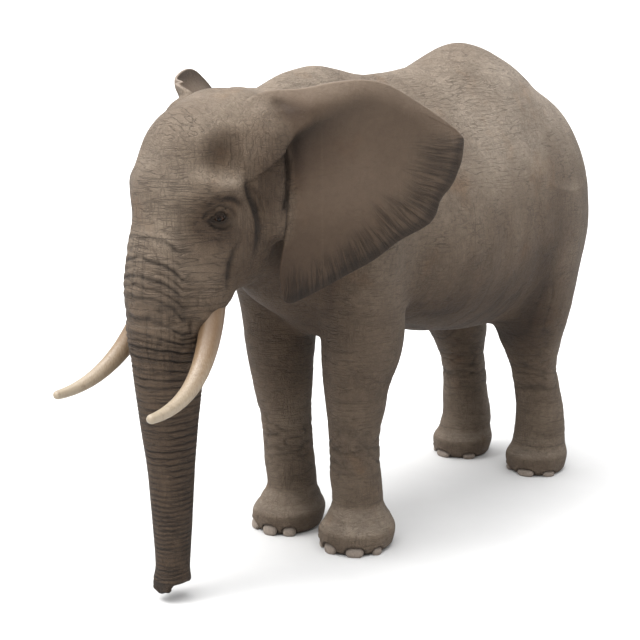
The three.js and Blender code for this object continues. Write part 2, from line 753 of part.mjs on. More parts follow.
function buildHead() {
  const bare = solidOf(headNet)
    .intersect(beyond(...HEAD_CUT))
    .intersect(beyond([0, 0, TRUNK_CUT], UP));
  const lids = lid(24, 15).add(lid(-19, 12));
  const socket = solidOf(eyeball(EYE_RADIUS + 2 * GAP));
  const head = bare.add(lids).add(otherSide(lids)).subtract(socket.add(otherSide(socket)));
  addNode('head', geometryOf(head));
  const glossy = new THREE.MeshStandardMaterial({ color: EYE_BROWN, roughness: 0.12, metalness: 0 });
  addPair('eye', geometryOf(solidOf(eyeball(EYE_RADIUS))), glossy);
}

// The lower jaw tucks up under the cheeks; the crease where it meets them is the line of the mouth.
function buildJaw() {
  const lines = [evenLines(330, 50), linesAt(-1360, -650, 56), linesAt(1500, 2250, 50)];
  const jaw = solidOf(netAround(jawForm, ...lines))
    .subtract(headClearance)
    .intersect(beyond(...HEAD_CUT));
  addNode('lower_jaw', geometryOf(jaw));
}

// ---- tusks ----------------------------------------------------------------------------------------
const TUSK_SIDES = 10;
function buildTusks() {
  const curve = new THREE.CubicBezierCurve3(...TUSK_BEND);
  const size = (t) => {
    const radius = lerp(TUSK_ROOT_RADIUS, TUSK_TIP_RADIUS, t ** 1.1);
    const rounded = radius * Math.sqrt(Math.max(1 - Math.max((t - 0.97) / 0.03, 0) ** 2, 0.04));
    return [rounded, rounded];
  };
  const skin = headClearance.add(trunkSkin());
  const tusk = solidOf(limbAlong(curve, 13, TUSK_SIDES, size)).subtract(skin);
  const ivory = new THREE.MeshStandardMaterial({ color: IVORY, roughness: 0.42, metalness: 0 });
  addPair('tusk', geometryOf(tusk), ivory);
}

// ---- trunk ----------------------------------------------------------------------------------------
const TRUNK_SIDES = 14;
function trunkRing(height, radius) {
  const ring = [];
  for (let j = 0; j < TRUNK_SIDES; j += 1) {
    const angle = (2 * Math.PI * j) / TRUNK_SIDES;
    const forward = Math.cos(angle);
    const z = typeof height === 'function' ? height(forward, Math.abs(Math.sin(angle))) : height;
    ring.push(point(radius * Math.sin(angle), trunkCentre(z) - radius * forward, z));
  }
  return ring;
}

// The tip has a longer finger in front and a shorter one behind, with the nostrils between them.
const fingers = (forward, sideways) => TRUNK_TIP_HEIGHT + 16 * sideways ** 2
  + 66 * (1 - smoothstep(forward, 0.55, 0.99)) - 26 * smoothstep(-forward, 0.4, 1);
const NOSTRIL_RADIUS = 19;
const NOSTRIL_DEPTH = 120;

// The trunk's skin, ring by ring; it also reaches up a little way inside the head.
function trunkSkin(clearance = GAP) {
  const rings = [
    trunkRing((forward, sideways) => fingers(forward, sideways) + 34, trunkWidth(0) * 0.62),
    trunkRing(fingers, trunkWidth(0) * 0.9),
    trunkRing((forward, sideways) => fingers(forward, sideways) + 16, trunkWidth(10)),
  ];
  const heights = RINGS.filter((height) => height < TRUNK_CUT + 200).reverse();
  heights.forEach((z, i) => {
    const spacing = i + 1 < heights.length ? heights[i + 1] - z : LOW_RING_SPACING;
    rings.push(trunkRing(z, trunkWidth(z) - spacing * 0.04 + clearance));
    rings.push(trunkRing(z + spacing * 0.55, trunkWidth(z) + spacing * 0.035 + clearance));
  });
  return solidOf(skinOver(rings));
}

function buildTrunk() {
  const cuts = [TRUNK_CUT, 1180, 780, 400, 0];
  const names = ['trunk_upper', 'trunk_middle', 'trunk_lower', 'trunk_tip'];
  let trunk = trunkSkin(0);
  for (const side of [-1, 1]) {
    const nostril = new THREE.CylinderGeometry(NOSTRIL_RADIUS * 0.5, NOSTRIL_RADIUS, NOSTRIL_DEPTH, 10);
    nostril.rotateX(Math.PI / 2);
    nostril.translate(side * 30, trunkCentre(0) + 12, TRUNK_TIP_HEIGHT + 80);
    trunk = trunk.subtract(solidOf(nostril));
  }
  names.forEach((name, i) => {
    const piece = trunk
      .intersect(beyond([0, 0, cuts[i]], DOWN))
      .intersect(beyond([0, 0, cuts[i + 1]], UP));
    addNode(name, geometryOf(piece));
  });
}

// ---- ears -----------------------------------------------------------------------------------------
// The ear is drawn on an upright plane that leaves the head at EAR_SPREAD degrees from the line of
// the body: its outline is given as [distance from the root, height] pairs.
const EAR_ROOT_TOP = [-120, 2740];
const EAR_ROOT_END = [-100, 2310];
const EAR_OUTLINE = [
  [-110, 2872], [117, 2915], [319, 2951], [500, 2957], [648, 2923], [843, 2819], [1042, 2696],
  [1125, 2630], [1149, 2570], [1083, 2365], [990, 2254], [955, 2168], [890, 2108], [713, 2035],
  [521, 1927], [276, 1816], [99, 1735], [38, 1720], [4, 1745], [-20, 1900], [10, 2120], [-40, 2310],
];
const EAR_RAYS = 22;
const EAR_LEVELS = [0, 0.26, 0.5, 0.72, 0.9, 1];    // from the root to the rim
const earOutward = point(Math.sin(degToRad(EAR_SPREAD)), Math.cos(degToRad(EAR_SPREAD)), 0);
const earForward = point(Math.cos(degToRad(EAR_SPREAD)), -Math.sin(degToRad(EAR_SPREAD)), 0);

// How far the sheet stands forward of its plane: a cup behind the head, a swell beyond it, a top edge
// that rolls back and shallow waves along the lower rim.
function earBow(level, around, reach, height, toRim) {
  const cup = -46 * Math.exp(-(((reach - 45) / 70) ** 2)) * clamp((height - 2200) / 150, 0, 1);
  const swell = 44 * Math.sin(Math.PI * clamp((reach + 60) / 1150, 0, 1));
  const onTop = clamp((0.5 - around) / 0.1, 0, 1);
  const rolled = lerp(44, 30, smoothstep(reach, 450, 1050));
  const roll = -rolled * onTop * clamp(1 - toRim / 120, 0, 1) ** 2;
  const atRoot = 1 - smoothstep(reach, -105, 190);
  const lean = -85 * smoothstep(height, 2650, 2880) * atRoot;
  const waves = 12 * Math.sin(around * 42) * level ** 4 * (1 - onTop);
  return cup + swell + roll + lean + waves;
}

function buildEars() {
  const outline = new THREE.CatmullRomCurve3(EAR_OUTLINE.map(([reach, z]) => point(reach, 0, z)));
  const sheets = [[], []];
  for (let i = 0; i <= EAR_RAYS; i += 1) {
    const around = i / EAR_RAYS;
    const start = point(lerp(EAR_ROOT_TOP[0], EAR_ROOT_END[0], around), 0,
      lerp(EAR_ROOT_TOP[1], EAR_ROOT_END[1], around));
    const end = outline.getPointAt(around);
    for (const level of EAR_LEVELS) {
      const flat = along(start, end, level);
      const toRim = flat.distanceTo(end);
      const bow = earBow(level, around, flat.x, flat.z, toRim);
      const body = lerp(EAR_ROOT_THICKNESS, EAR_THICKNESS, clamp((flat.x + 60) / 260, 0, 1));
      const thickness = lerp(EAR_RIM_THICKNESS, body, clamp(toRim / 110, 0, 1));
      for (const side of [0, 1]) {
        sheets[side].push(EAR_ROOT.clone()
          .addScaledVector(earOutward, flat.x)
          .addScaledVector(earForward, bow + (side === 0 ? 0.5 : -0.5) * thickness)
          .setZ(flat.z));
      }
    }
  }
  const steps = EAR_LEVELS.length - 1;
  const columns = steps + 1;
  const size = sheets[0].length;
  const positions = sheets.flat().flatMap((p) => [p.x, p.y, p.z]);
  const index = [];
  for (let i = 0; i < EAR_RAYS; i += 1) {
    for (let j = 0; j < steps; j += 1) {
      const a = i * columns + j;
      const b = a + 1;
      const c = a + columns;
      const d = c + 1;
      index.push(a, c, d, a, d, b);
      index.push(size + a, size + d, size + c, size + a, size + b, size + d);
    }
  }
  const rim = [];
  for (let j = 0; j < steps; j += 1) rim.push(j);
  for (let i = 0; i < EAR_RAYS; i += 1) rim.push(i * columns + steps);
  for (let j = steps; j > 0; j -= 1) rim.push(EAR_RAYS * columns + j);
  for (let i = EAR_RAYS; i > 0; i -= 1) rim.push(i * columns);
  rim.forEach((a, n) => {
    const b = rim[(n + 1) % rim.length];
    index.push(a, b, size + b, a, size + b, size + a);
  });
  const sheet = new THREE.BufferGeometry();
  sheet.setAttribute('position', new THREE.Float32BufferAttribute(positions, 3));
  sheet.setIndex(index);
  const ear = solidOf(sheet).subtract(headClearance);
  addPair('ear', geometryOf(ear), skinMaterial(EAR_SKIN));
}

// ---- tail -----------------------------------------------------------------------------------------
const TAIL_END = point(0, 2520, 1080);
function buildTail() {
  const curve = new THREE.CubicBezierCurve3(
    point(0, 2330, 2430), point(0, 2640, 2150), point(0, 2560, 1600), TAIL_END,
  );
  const size = (t) => [lerp(62, 24, Math.sqrt(t)), lerp(78, 20, Math.sqrt(t))];
  const rump = solidOf(withClearance(torsoNet, torsoForm));
  const tail = solidOf(limbAlong(curve, 12, 8, size)).subtract(rump);
  const above = tail.intersect(beyond([0, 0, TUFT_CUT], UP));
  addNode('tail', geometryOf(above));

  // The tuft: flat tapered locks in two rows, in front of and behind the flattened end of the tail.
  let tuft = tail.intersect(beyond([0, 0, TUFT_CUT], DOWN));
  const locks = 12;
  for (let i = 0; i < locks; i += 1) {
    const level = i / (locks - 1);
    const facing = i % 2 === 0 ? 1 : -1;
    const root = along(curve.getPoint(0.86), TAIL_END, level);
    const lean = 26 + 22 * Math.sin(i * 2.4);
    const drift = 20 * Math.sin(i * 1.7);
    const length = TUFT_LENGTH * (1 - 0.3 * (1 - level));
    const path = new THREE.QuadraticBezierCurve3(
      root.clone().add(point(0, -facing * 6, 8)),
      root.clone().add(point(drift * 0.6, facing * lean, -length * 0.45)),
      root.clone().add(point(drift * 1.6, facing * lean * 0.8, -length)),
    );
    const blade = (t) => [lerp(15, 3, t ** 1.4), lerp(9, 2, t)];
    tuft = tuft.add(solidOf(limbAlong(path, 3, 4, blade)));
  }
  const dark = new THREE.MeshStandardMaterial({ color: TUFT_BLACK, roughness: 0.7, metalness: 0 });
  addNode('tail_tuft', geometryOf(tuft), dark);
}

buildTorso();
buildLeg(FRONT_LEG);
buildLeg(REAR_LEG);
buildHead();
buildJaw();
buildTusks();
buildTrunk();
buildEars();
buildTail();

// The origin lies on the floor, under the middle of the length.
const reach = new THREE.Box3().setFromObject(elephant);
elephant.position.y = -(reach.min.y + reach.max.y) / 2;

export default elephant;
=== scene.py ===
"""An African bush elephant standing at ease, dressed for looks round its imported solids.

One skin without seams stands for every node of flesh. It starts as a close net round the solids, is
drawn onto the smooth form that the solids are cut from, and then gets folds, rings and lids.
Forms are shaped in millimetres, in the animal's own frame: y = 0 under the front feet, facing -y,
its left side at +x. to_world() takes a shaped point to the row frame, in metres.
"""

import math

import bmesh
import bpy
import numpy as np
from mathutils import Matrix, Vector


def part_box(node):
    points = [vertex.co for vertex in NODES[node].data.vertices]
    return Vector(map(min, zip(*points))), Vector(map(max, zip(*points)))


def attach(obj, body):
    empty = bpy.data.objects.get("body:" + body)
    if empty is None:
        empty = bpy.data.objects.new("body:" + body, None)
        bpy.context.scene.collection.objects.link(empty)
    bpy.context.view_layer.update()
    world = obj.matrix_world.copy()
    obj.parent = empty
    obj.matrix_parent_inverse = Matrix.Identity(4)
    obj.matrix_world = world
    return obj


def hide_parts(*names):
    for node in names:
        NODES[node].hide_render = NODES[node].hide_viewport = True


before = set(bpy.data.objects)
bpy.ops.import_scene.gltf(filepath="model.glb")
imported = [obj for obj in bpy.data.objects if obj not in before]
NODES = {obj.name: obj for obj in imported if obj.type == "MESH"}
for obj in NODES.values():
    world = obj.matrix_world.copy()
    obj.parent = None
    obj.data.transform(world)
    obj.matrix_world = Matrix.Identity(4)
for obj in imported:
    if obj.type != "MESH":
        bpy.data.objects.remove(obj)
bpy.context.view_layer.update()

SHIFT = np.array([0.0, -370.887, 0.0])   # from the animal's frame to the row frame, mm
BODY = "root"
VOXEL = 0.0115  # cell of the first net round the solids, m
RNG = np.random.default_rng(20)

FLESH = [
    "torso_chest", "torso_belly", "torso_rump", "neck", "head", "lower_jaw",
    "trunk_upper", "trunk_middle", "trunk_lower", "trunk_tip", "tail",
]
for end in ("front", "rear"):
    for part in ("leg_upper", "leg_lower", "foot"):
        FLESH += [f"{end}_{part}_{side}" for side in ("left", "right")]
EARS = ["ear_left", "ear_right"]


# ---- small helpers ---------------------------------------------------------------------------------
def to_world(points):
    return (np.asarray(points, float) + SHIFT) / 1000


def to_animal(points):
    return np.asarray(points, float) * 1000 - SHIFT


def clamp01(x):
    return np.clip(x, 0.0, 1.0)


def smooth(low, high, x):
    t = clamp01((x - low) / (high - low))
    return t * t * (3 - 2 * t)


def lerp(a, b, t):
    return a + (b - a) * t


def bell(x, width):
    """1 where x is 0, fading to nothing within about twice the width."""
    return np.exp(-(x / width) ** 2)


def length(v):
    return np.sqrt(np.einsum("ij,ij->i", v, v))


def unit(v):
    v = np.asarray(v, float)
    return v / np.linalg.norm(v)


def folded(points):
    """The same points with both halves of the animal laid on its left one."""
    left = points.copy()
    left[:, 0] = np.abs(left[:, 0])
    return left


def noise(points, size, seed=0):
    """Smooth noise from -1 to 1 with lumps about size across; size may be one number for each axis."""
    q = points / np.asarray(size, float) + seed * 17.31
    cell = np.floor(q).astype(np.int64)
    f = q - cell
    f = f * f * (3 - 2 * f)
    total = np.zeros(len(points))
    for dx in (0, 1):
        for dy in (0, 1):
            for dz in (0, 1):
                h = (cell[:, 0] + dx) * 73856093
                h = h ^ ((cell[:, 1] + dy) * 19349663)
                h = h ^ ((cell[:, 2] + dz) * 83492791)
                h = (h ^ (h >> 13)) * 1274126177
                value = ((h ^ (h >> 16)) & 0xFFFF) / 32767.5 - 1
                weight = np.where(dx, f[:, 0], 1 - f[:, 0])
                weight = weight * np.where(dy, f[:, 1], 1 - f[:, 1])
                weight = weight * np.where(dz, f[:, 2], 1 - f[:, 2])
                total += weight * value
    return total


def layered(points, size, seed=0, layers=3):
    size = np.asarray(size, float)
    total = np.zeros(len(points))
    for i in range(layers):
        total += noise(points, size / 2 ** i, seed + 3 * i) / 2 ** i
    return total


# ---- rounded forms, the same as those the solids are cut from ---------------------------------------
def egg(p, centre, radii, pitch=0.0):
    cos, sin = math.cos(math.radians(pitch)), math.sin(math.radians(pitch))
    d = p - np.asarray(centre, float)
    q = np.stack((
        d[:, 0] / radii[0],
        (d[:, 1] * cos - d[:, 2] * sin) / radii[1],
        (d[:, 1] * sin + d[:, 2] * cos) / radii[2],
    ), 1)
    near = length(q)
    slope = length(q / np.asarray(radii, float))
    return near * (near - 1) / np.maximum(slope, 1e-7)


def rod(p, start, end, start_radius, end_radius, flat=1.0):
    start, end = np.asarray(start, float), np.asarray(end, float)
    axis = end - start
    t = clamp01((p - start) @ axis / (axis @ axis))
    d = p - start - t[:, None] * axis
    d[:, 0] /= flat
    return (length(d) - lerp(start_radius, end_radius, t)) * min(1.0, math.sqrt(flat))


def melted(softness, *values):
    value = values[0]
    for other in values[1:]:
        mix = np.maximum(softness - np.abs(value - other), 0) / softness
        value = np.minimum(value, other) - mix * mix * softness / 4
    return value


def hollowed(softness, value, hollow):
    other = -hollow
    mix = np.maximum(softness - np.abs(value - other), 0) / softness
    return np.maximum(value, other) + mix * mix * softness / 4


def profile(pairs):
    """A smooth curve through (place, value) pairs, level beyond its ends."""
    x = np.array([pair[0] for pair in pairs], float)
    y = np.array([pair[1] for pair in pairs], float)
    rise = np.diff(y) / np.diff(x)
    slopes = np.zeros(len(x))
    slopes[0], slopes[-1] = rise[0], rise[-1]
    for i in range(1, len(x) - 1):
        a, b = rise[i - 1], rise[i]
        slopes[i] = 0 if a * b <= 0 else 2 * a * b / (a + b)

    def at(place):
        place = np.clip(place, x[0], x[-1])
        i = np.clip(np.searchsorted(x, place, side="left") - 1, 0, len(x) - 2)
        width = x[i + 1] - x[i]
        t = (place - x[i]) / width
        t2, t3 = t * t, t * t * t
        return (y[i] * (2 * t3 - 3 * t2 + 1) + slopes[i] * width * (t3 - 2 * t2 + t)
                + y[i + 1] * (3 * t2 - 2 * t3) + slopes[i + 1] * width * (t3 - t2))

    return at


CHEST_FRONT, SEAT_BACK = -700, 2570


def barrel_place(y):
    t = clamp01((np.asarray(y, float) - CHEST_FRONT) / (SEAT_BACK - CHEST_FRONT))
    return np.arccos(1 - 2 * t) / math.pi


def on_barrel(pairs):
    return profile([(float(barrel_place(y)), value) for y, value in pairs])


BACK_LINE = on_barrel([
    (CHEST_FRONT, 2250), (-560, 2840), (-300, 2975), (-60, 3000), (450, 2925),
    (900, 2955), (1410, 3092), (1900, 2970), (2280, 2680), (2480, 2330), (SEAT_BACK, 1960),
])
BELLY_LINE = on_barrel([
    (CHEST_FRONT, 2050), (-560, 1700), (-250, 1520), (250, 1400), (900, 1205),
    (1500, 1140), (1900, 1190), (2350, 1490), (SEAT_BACK, 1900),
])
FLANK_LINE = on_barrel([
    (CHEST_FRONT, 10), (-560, 340), (-200, 480), (300, 590), (900, 690), (1400, 700),
    (1900, 600), (2300, 430), (SEAT_BACK, 10),
])
WIDEST_LEVEL = on_barrel([
    (CHEST_FRONT, 2150), (0, 1950), (900, 1850), (1700, 1950), (SEAT_BACK, 1930),
])
ROOF_POWER, KEEL_POWER = 1.72, 2.15


def barrel_raw(x, y, z):
    place = barrel_place(y)
    level = WIDEST_LEVEL(place)
    wide = np.maximum(FLANK_LINE(place), 1)
    above = z > level
    tall = np.where(above, BACK_LINE(place) - level, level - BELLY_LINE(place))
    power = np.where(above, ROOF_POWER, KEEL_POWER)
    px = np.abs(x) / wide
    pz = np.abs(z - level) / np.maximum(tall, 1)
    return (px ** power + pz ** power) ** (1 / power) - 1


def barrel(p):
    x, given, z = p[:, 0], p[:, 1], p[:, 2]
    y = np.clip(given, CHEST_FRONT + 30, SEAT_BACK - 30)
    step = 4.0
    here = barrel_raw(x, y, z)
    slope_x = (barrel_raw(x + step, y, z) - here) / step
    slope_y = (barrel_raw(x, y + step, z) - here) / step
    slope_z = (barrel_raw(x, y, z + step) - here) / step
    slope = np.maximum(np.sqrt(slope_x ** 2 + slope_y ** 2 + slope_z ** 2), 1 / 1200)
    return here / slope + np.abs(given - y) * 0.8


def column_of(rows):
    """Profiles of a leg's middle x, middle y and half width over its height."""
    return [profile([(row[0], row[k]) for row in rows]) for k in (1, 2, 3)]


# Height, middle x, middle y and half width, from the sole up into the body.
FRONT_COLUMN = column_of([
    (0, 290, 4, 188), (30, 290, 4, 220), (120, 287, 8, 238), (200, 284, 20, 200), (300, 276, 22, 163),
    (450, 276, 4, 166), (600, 275, -10, 163), (750, 282, -23, 166), (900, 298, -31, 184),
    (1100, 309, -37, 209), (1300, 324, -34, 232), (1950, 370, -130, 240),
])
REAR_COLUMN = column_of([
    (0, 331, 2072, 180), (30, 331, 2072, 206), (120, 329, 2076, 222), (200, 328, 2096, 197),
    (300, 324, 2108, 188), (450, 327, 2090, 176), (600, 317, 2063, 169), (750, 311, 2022, 167),
    (850, 311, 1990, 184), (950, 314, 1962, 214), (1050, 325, 1930, 240), (1150, 338, 1908, 264),
    (1300, 335, 1895, 304), (1500, 325, 1880, 325), (1850, 305, 1850, 330),
])
LEG_NARROW, LEG_DEEP = 0.95, 1.05        # a leg is a little longer than wide
LEG_TOP = 2050                           # inside the shoulder and the rump
FRONT_FOOT = np.array([290.0, 4.0, 0.0])
REAR_FOOT = np.array([331.0, 2072.0, 0.0])
FRONT_SOLE = (238 * LEG_NARROW, 238 * LEG_DEEP)
REAR_SOLE = (222 * LEG_NARROW, 222 * LEG_DEEP)


def column(p, profiles):
    middle_x, middle_y, half = profiles
    z = p[:, 2]
    wide, deep = half(z) * LEG_NARROW, half(z) * LEG_DEEP
    dx, dy = (p[:, 0] - middle_x(z)) / wide, (p[:, 1] - middle_y(z)) / deep
    near = np.hypot(dx, dy)
    value = near * (near - 1) / np.maximum(np.hypot(dx / wide, dy / deep), 1e-7)
    return np.maximum(value, z - LEG_TOP)


def front_leg(p):
    return melted(
        120,
        egg(p, [385, -60, 2120], [195, 380, 600], -6),
        egg(p, [400, 80, 1450], [124, 172, 330]),
        column(p, FRONT_COLUMN),
    )


def rear_leg(p):
    return melted(130, egg(p, [332, 1915, 1950], [305, 539, 760], -10), column(p, REAR_COLUMN))


def neck(p):
    return melted(
        160,
        rod(p, [0, -250, 2420], [0, -840, 2500], 430, 330, 0.92),
        rod(p, [0, -300, 1980], [0, -800, 2120], 330, 255, 0.95),
    )


def brisket(p):
    return rod(p, [0, -440, 1775], [0, -60, 1500], 150, 150, 0.85)


def head(p):
    skull = melted(
        110,
        egg(p, [0, -900, 2530], [340, 380, 358], -8),
        egg(p, [0, -1115, 2440], [300, 325, 385], -14),
        egg(p, [140, -820, 2682], [175, 250, 192]),
        egg(p, [205, -1180, 2355], [115, 125, 105]),
        egg(p, [246, -1205, 2412], [66, 112, 52]),
        egg(p, [245, -1000, 2115], [150, 235, 275], 8),
        egg(p, [215, -1060, 1965], [125, 190, 125], 8),
        egg(p, [0, -930, 2005], [215, 290, 165], 6),
    )
    trunk_root = melted(
        110,
        rod(p, [0, -1230, 2330], [0, -1284, 1980], 260, 230),
        rod(p, [0, -1284, 1980], [0, -1314, 1800], 230, 230),
        rod(p, [0, -1314, 1800], [0, -1345, 1560], 230, 216),
    )
    sheath = melted(
        70,
        rod(p, [190, -1190, 2120], [226, -1222, 1825], 118, 100),
        rod(p, [226, -1222, 1825], [222, -1285, 1715], 98, 66),
    )
    ear_base = egg(p, [335, -875, 2520], [88, 115, 290], -6)
    ear_foot = rod(p, [395, -874, 2330], [404, -868, 2130], 54, 42)
    whole = melted(90, skull, trunk_root, sheath, ear_base, ear_foot)
    return hollowed(70, whole, egg(p, [343, -1192, 2590], [90, 140, 150]))


def jaw(p):
    return melted(
        90,
        rod(p, [150, -890, 1985], [70, -1080, 1810], 118, 76),
        rod(p, [0, -1060, 1825], [0, -1160, 1735], 90, 46),
    )


TRUNK_CENTRE = profile([(0, -1362), (300, -1343), (700, -1342), (1100, -1350), (1600, -1347)])
TRUNK_WIDTH = profile([
    (0, 70), (60, 88), (110, 102), (190, 98), (250, 101), (520, 118), (760, 132), (1000, 157),
    (1300, 190), (1600, 218),
])
TRUNK_TIP = 40.0


def trunk(p):
    y = p[:, 1] - TRUNK_CENTRE(p[:, 2])
    wide = TRUNK_WIDTH(p[:, 2])
    around = np.hypot(p[:, 0], y)
    forward = np.clip(-y / wide, -1, 1)
    sideways = np.clip(p[:, 0] / wide, 0, 1)
    tip = TRUNK_TIP + 66 * smooth(0.99, 0.55, forward) + 16 * sideways ** 2
    tip = tip - 26 * smooth(-0.4, -1.0, forward)
    value = np.maximum(around - wide, p[:, 2] - 1640)
    other = tip - p[:, 2]
    mix = np.maximum(26 - np.abs(value - other), 0) / 26
    return np.maximum(value, other) + mix * mix * 26 / 4


def bezier(points, t):
    p = [np.asarray(q, float) for q in points]
    t = np.asarray(t, float)[:, None]
    s = 1 - t
    if len(p) == 3:
        return s * s * p[0] + 2 * s * t * p[1] + t * t * p[2]
    return s ** 3 * p[0] + 3 * s * s * t * p[1] + 3 * s * t * t * p[2] + t ** 3 * p[3]


TAIL_BEND = [(0, 2330, 2430), (0, 2640, 2150), (0, 2560, 1600), (0, 2520, 1080)]
TAIL_STEPS = 14


def tail(p):
    value = np.full(len(p), 900.0)
    close = (p[:, 1] > 2150) & (p[:, 0] < 260)
    q = p[close]
    t = np.linspace(0, 1, TAIL_STEPS + 1)
    line = bezier(TAIL_BEND, t)
    wide = lerp(66, 21, np.sqrt(t))
    best = np.full(len(q), 900.0)
    for i in range(TAIL_STEPS):
        best = melted(6, best, rod(q, line[i], line[i + 1], wide[i], wide[i + 1]))
    value[close] = best
    return value


# ---- the ear: a sheet on an upright plane that leaves the head -------------------------------------
EAR_ROOT = np.array([420.0, -850.0, 0.0])
EAR_SPREAD = math.radians(27)
EAR_OUT = np.array([math.sin(EAR_SPREAD), math.cos(EAR_SPREAD), 0.0])
EAR_FORE = np.array([math.cos(EAR_SPREAD), -math.sin(EAR_SPREAD), 0.0])
EAR_OUTLINE = [
    (-110, 2872), (117, 2915), (319, 2951), (500, 2957), (648, 2923), (843, 2819), (1042, 2696),
    (1125, 2630), (1149, 2570), (1083, 2365), (990, 2254), (955, 2168), (890, 2108), (713, 2035),
    (521, 1927), (276, 1816), (99, 1735), (38, 1720), (4, 1745), (-20, 1900), (10, 2120), (-40, 2310),
]
EAR_CLOSED = EAR_OUTLINE + [(-190, 2420), (-200, 2640)]    # round behind the root
EAR_GRID_LOW = np.array([-260.0, 1600.0])
EAR_GRID_STEP = 10.0
EAR_GRID_SIZE = (156, 146)


def rounded_outline(points, steps=8):
    """A smooth closed row of points through the given ones."""
    pts = np.asarray(points, float)
    rows = []
    for i in range(len(pts)):
        a, b, c, d = (pts[(i + k - 1) % len(pts)] for k in range(4))
        for j in range(steps):
            t = j / steps
            rows.append(0.5 * (2 * b + (c - a) * t + (2 * a - 5 * b + 4 * c - d) * t ** 2
                               + (3 * b - a - 3 * c + d) * t ** 3))
    return np.array(rows)


def outline_grid():
    """Distance from the ear's outline, below zero inside, on a square grid."""
    line = rounded_outline(EAR_CLOSED)
    following = np.roll(line, -1, axis=0)
    u = EAR_GRID_LOW[0] + EAR_GRID_STEP * np.arange(EAR_GRID_SIZE[0])
    z = EAR_GRID_LOW[1] + EAR_GRID_STEP * np.arange(EAR_GRID_SIZE[1])
    grid = np.stack(np.meshgrid(u, z, indexing="ij"), -1).reshape(-1, 2)
    best = np.full(len(grid), 1e9)
    inside = np.zeros(len(grid), bool)
    for a, b in zip(line, following):
        edge = b - a
        t = clamp01((grid - a) @ edge / max(edge @ edge, 1e-9))
        best = np.minimum(best, np.hypot(*(grid - a - t[:, None] * edge).T))
        crosses = (a[1] > grid[:, 1]) != (b[1] > grid[:, 1])
        with np.errstate(divide="ignore", invalid="ignore"):
            at = a[0] + (grid[:, 1] - a[1]) * edge[0] / edge[1]
        inside ^= crosses & (grid[:, 0] < at)
    return np.where(inside, -best, best).reshape(EAR_GRID_SIZE)


EAR_DISTANCE = outline_grid()


def ear_edge(u, z):
    """Distance outside the ear's outline, read from the grid."""
    grid = EAR_DISTANCE
    a = np.clip((u - EAR_GRID_LOW[0]) / EAR_GRID_STEP, 0, EAR_GRID_SIZE[0] - 1.001)
    b = np.clip((z - EAR_GRID_LOW[1]) / EAR_GRID_STEP, 0, EAR_GRID_SIZE[1] - 1.001)
    i, j = a.astype(int), b.astype(int)
    s, t = a - i, b - j
    return ((1 - s) * (1 - t) * grid[i, j] + s * (1 - t) * grid[i + 1, j]
            + (1 - s) * t * grid[i, j + 1] + s * t * grid[i + 1, j + 1])


def ear_space(p):
    """Reach from the root, distance in front of the plane and height, for points on the left side."""
    d = p - EAR_ROOT
    return d @ EAR_OUT, d @ EAR_FORE, p[:, 2]


def ear_bow(u, z, edge):
    cup = -46 * bell(u - 45, 70) * clamp01((z - 2200) / 150)
    swell = 44 * np.sin(math.pi * clamp01((u + 60) / 1150))
    on_top = smooth(2520, 2680, z + 0.06 * u)
    roll = -lerp(44, 30, smooth(450, 1050, u)) * on_top * clamp01(1 + edge / 120) ** 2
    lean = -85 * smooth(2650, 2880, z) * (1 - smooth(-105, 190, u))
    return cup + swell + roll + lean


def ear_half(u, edge):
    body = lerp(80, 26, clamp01((u + 60) / 260))
    return lerp(17, body, clamp01(-edge / 110)) / 2


def ear(p):
    value = np.full(len(p), 900.0)
    close = (p[:, 0] > 230) & (p[:, 1] < 420) & (p[:, 1] > -1150) & (p[:, 2] > 1640)
    u, w, z = ear_space(p[close])
    edge = ear_edge(u, z)
    rounding = 5.5
    a = edge + rounding
    b = np.abs(w - ear_bow(u, z, edge)) - ear_half(u, edge) + rounding
    value[close] = np.minimum(np.maximum(a, b), 0) + np.hypot(np.maximum(a, 0), np.maximum(b, 0)) - rounding
    return value


# ---- the whole animal ------------------------------------------------------------------------------
def flesh(p):
    """The body without its ears."""
    torso = melted(120, barrel(p), front_leg(p))
    torso = melted(150, torso, rear_leg(p), neck(p), brisket(p))
    value = melted(120, torso, head(p))
    value = melted(24, value, jaw(p))
    value = melted(30, value, trunk(p))
    return melted(50, value, tail(p))


def animal(p):
    p = folded(p)
    joint = lerp(16.0, 55.0, smooth(2010, 2200, p[:, 2]))
    value = melted(joint, flesh(p), ear(p))
    return np.maximum(value, -p[:, 2])


TETRAHEDRON = np.array([[1, -1, -1], [-1, -1, 1], [-1, 1, -1], [1, 1, 1]], float)


def value_and_slope(p, step=2.5):
    slope = np.zeros_like(p)
    value = np.zeros(len(p))
    for corner in TETRAHEDRON:
        here = animal(p + corner * step)
        slope += here[:, None] * corner
        value += here
    return value / 4, slope / (4 * step)


def drawn_to_form(p, turns, reach=16.0):
    for _ in range(turns):
        value, slope = value_and_slope(p)
        steep = np.maximum(np.einsum("ij,ij->i", slope, slope), 0.12)
        move = slope * (-value / steep)[:, None]
        far = length(move)
        p = p + move * np.minimum(1, reach / np.maximum(far, 1e-6))[:, None]
    return p


# ---- meshes in and out of arrays -------------------------------------------------------------------
def mesh_points(mesh):
    co = np.empty(len(mesh.vertices) * 3, np.float32)
    mesh.vertices.foreach_get("co", co)
    return co.reshape(-1, 3).astype(float)


def set_points(mesh, points):
    mesh.vertices.foreach_set("co", np.ascontiguousarray(points, np.float32).ravel())
    mesh.update()


def new_object(name, mesh):
    thing = bpy.data.objects.new(name, mesh)
    bpy.context.scene.collection.objects.link(thing)
    return thing


def mesh_of(name, points, faces, smooth_faces=True):
    """points are in metres, in the row frame."""
    mesh = bpy.data.meshes.new(name)
    mesh.from_pydata([tuple(p) for p in points], [], [tuple(f) for f in faces])
    mesh.update()
    if smooth_faces:
        mesh.polygons.foreach_set("use_smooth", [True] * len(mesh.polygons))
    return mesh


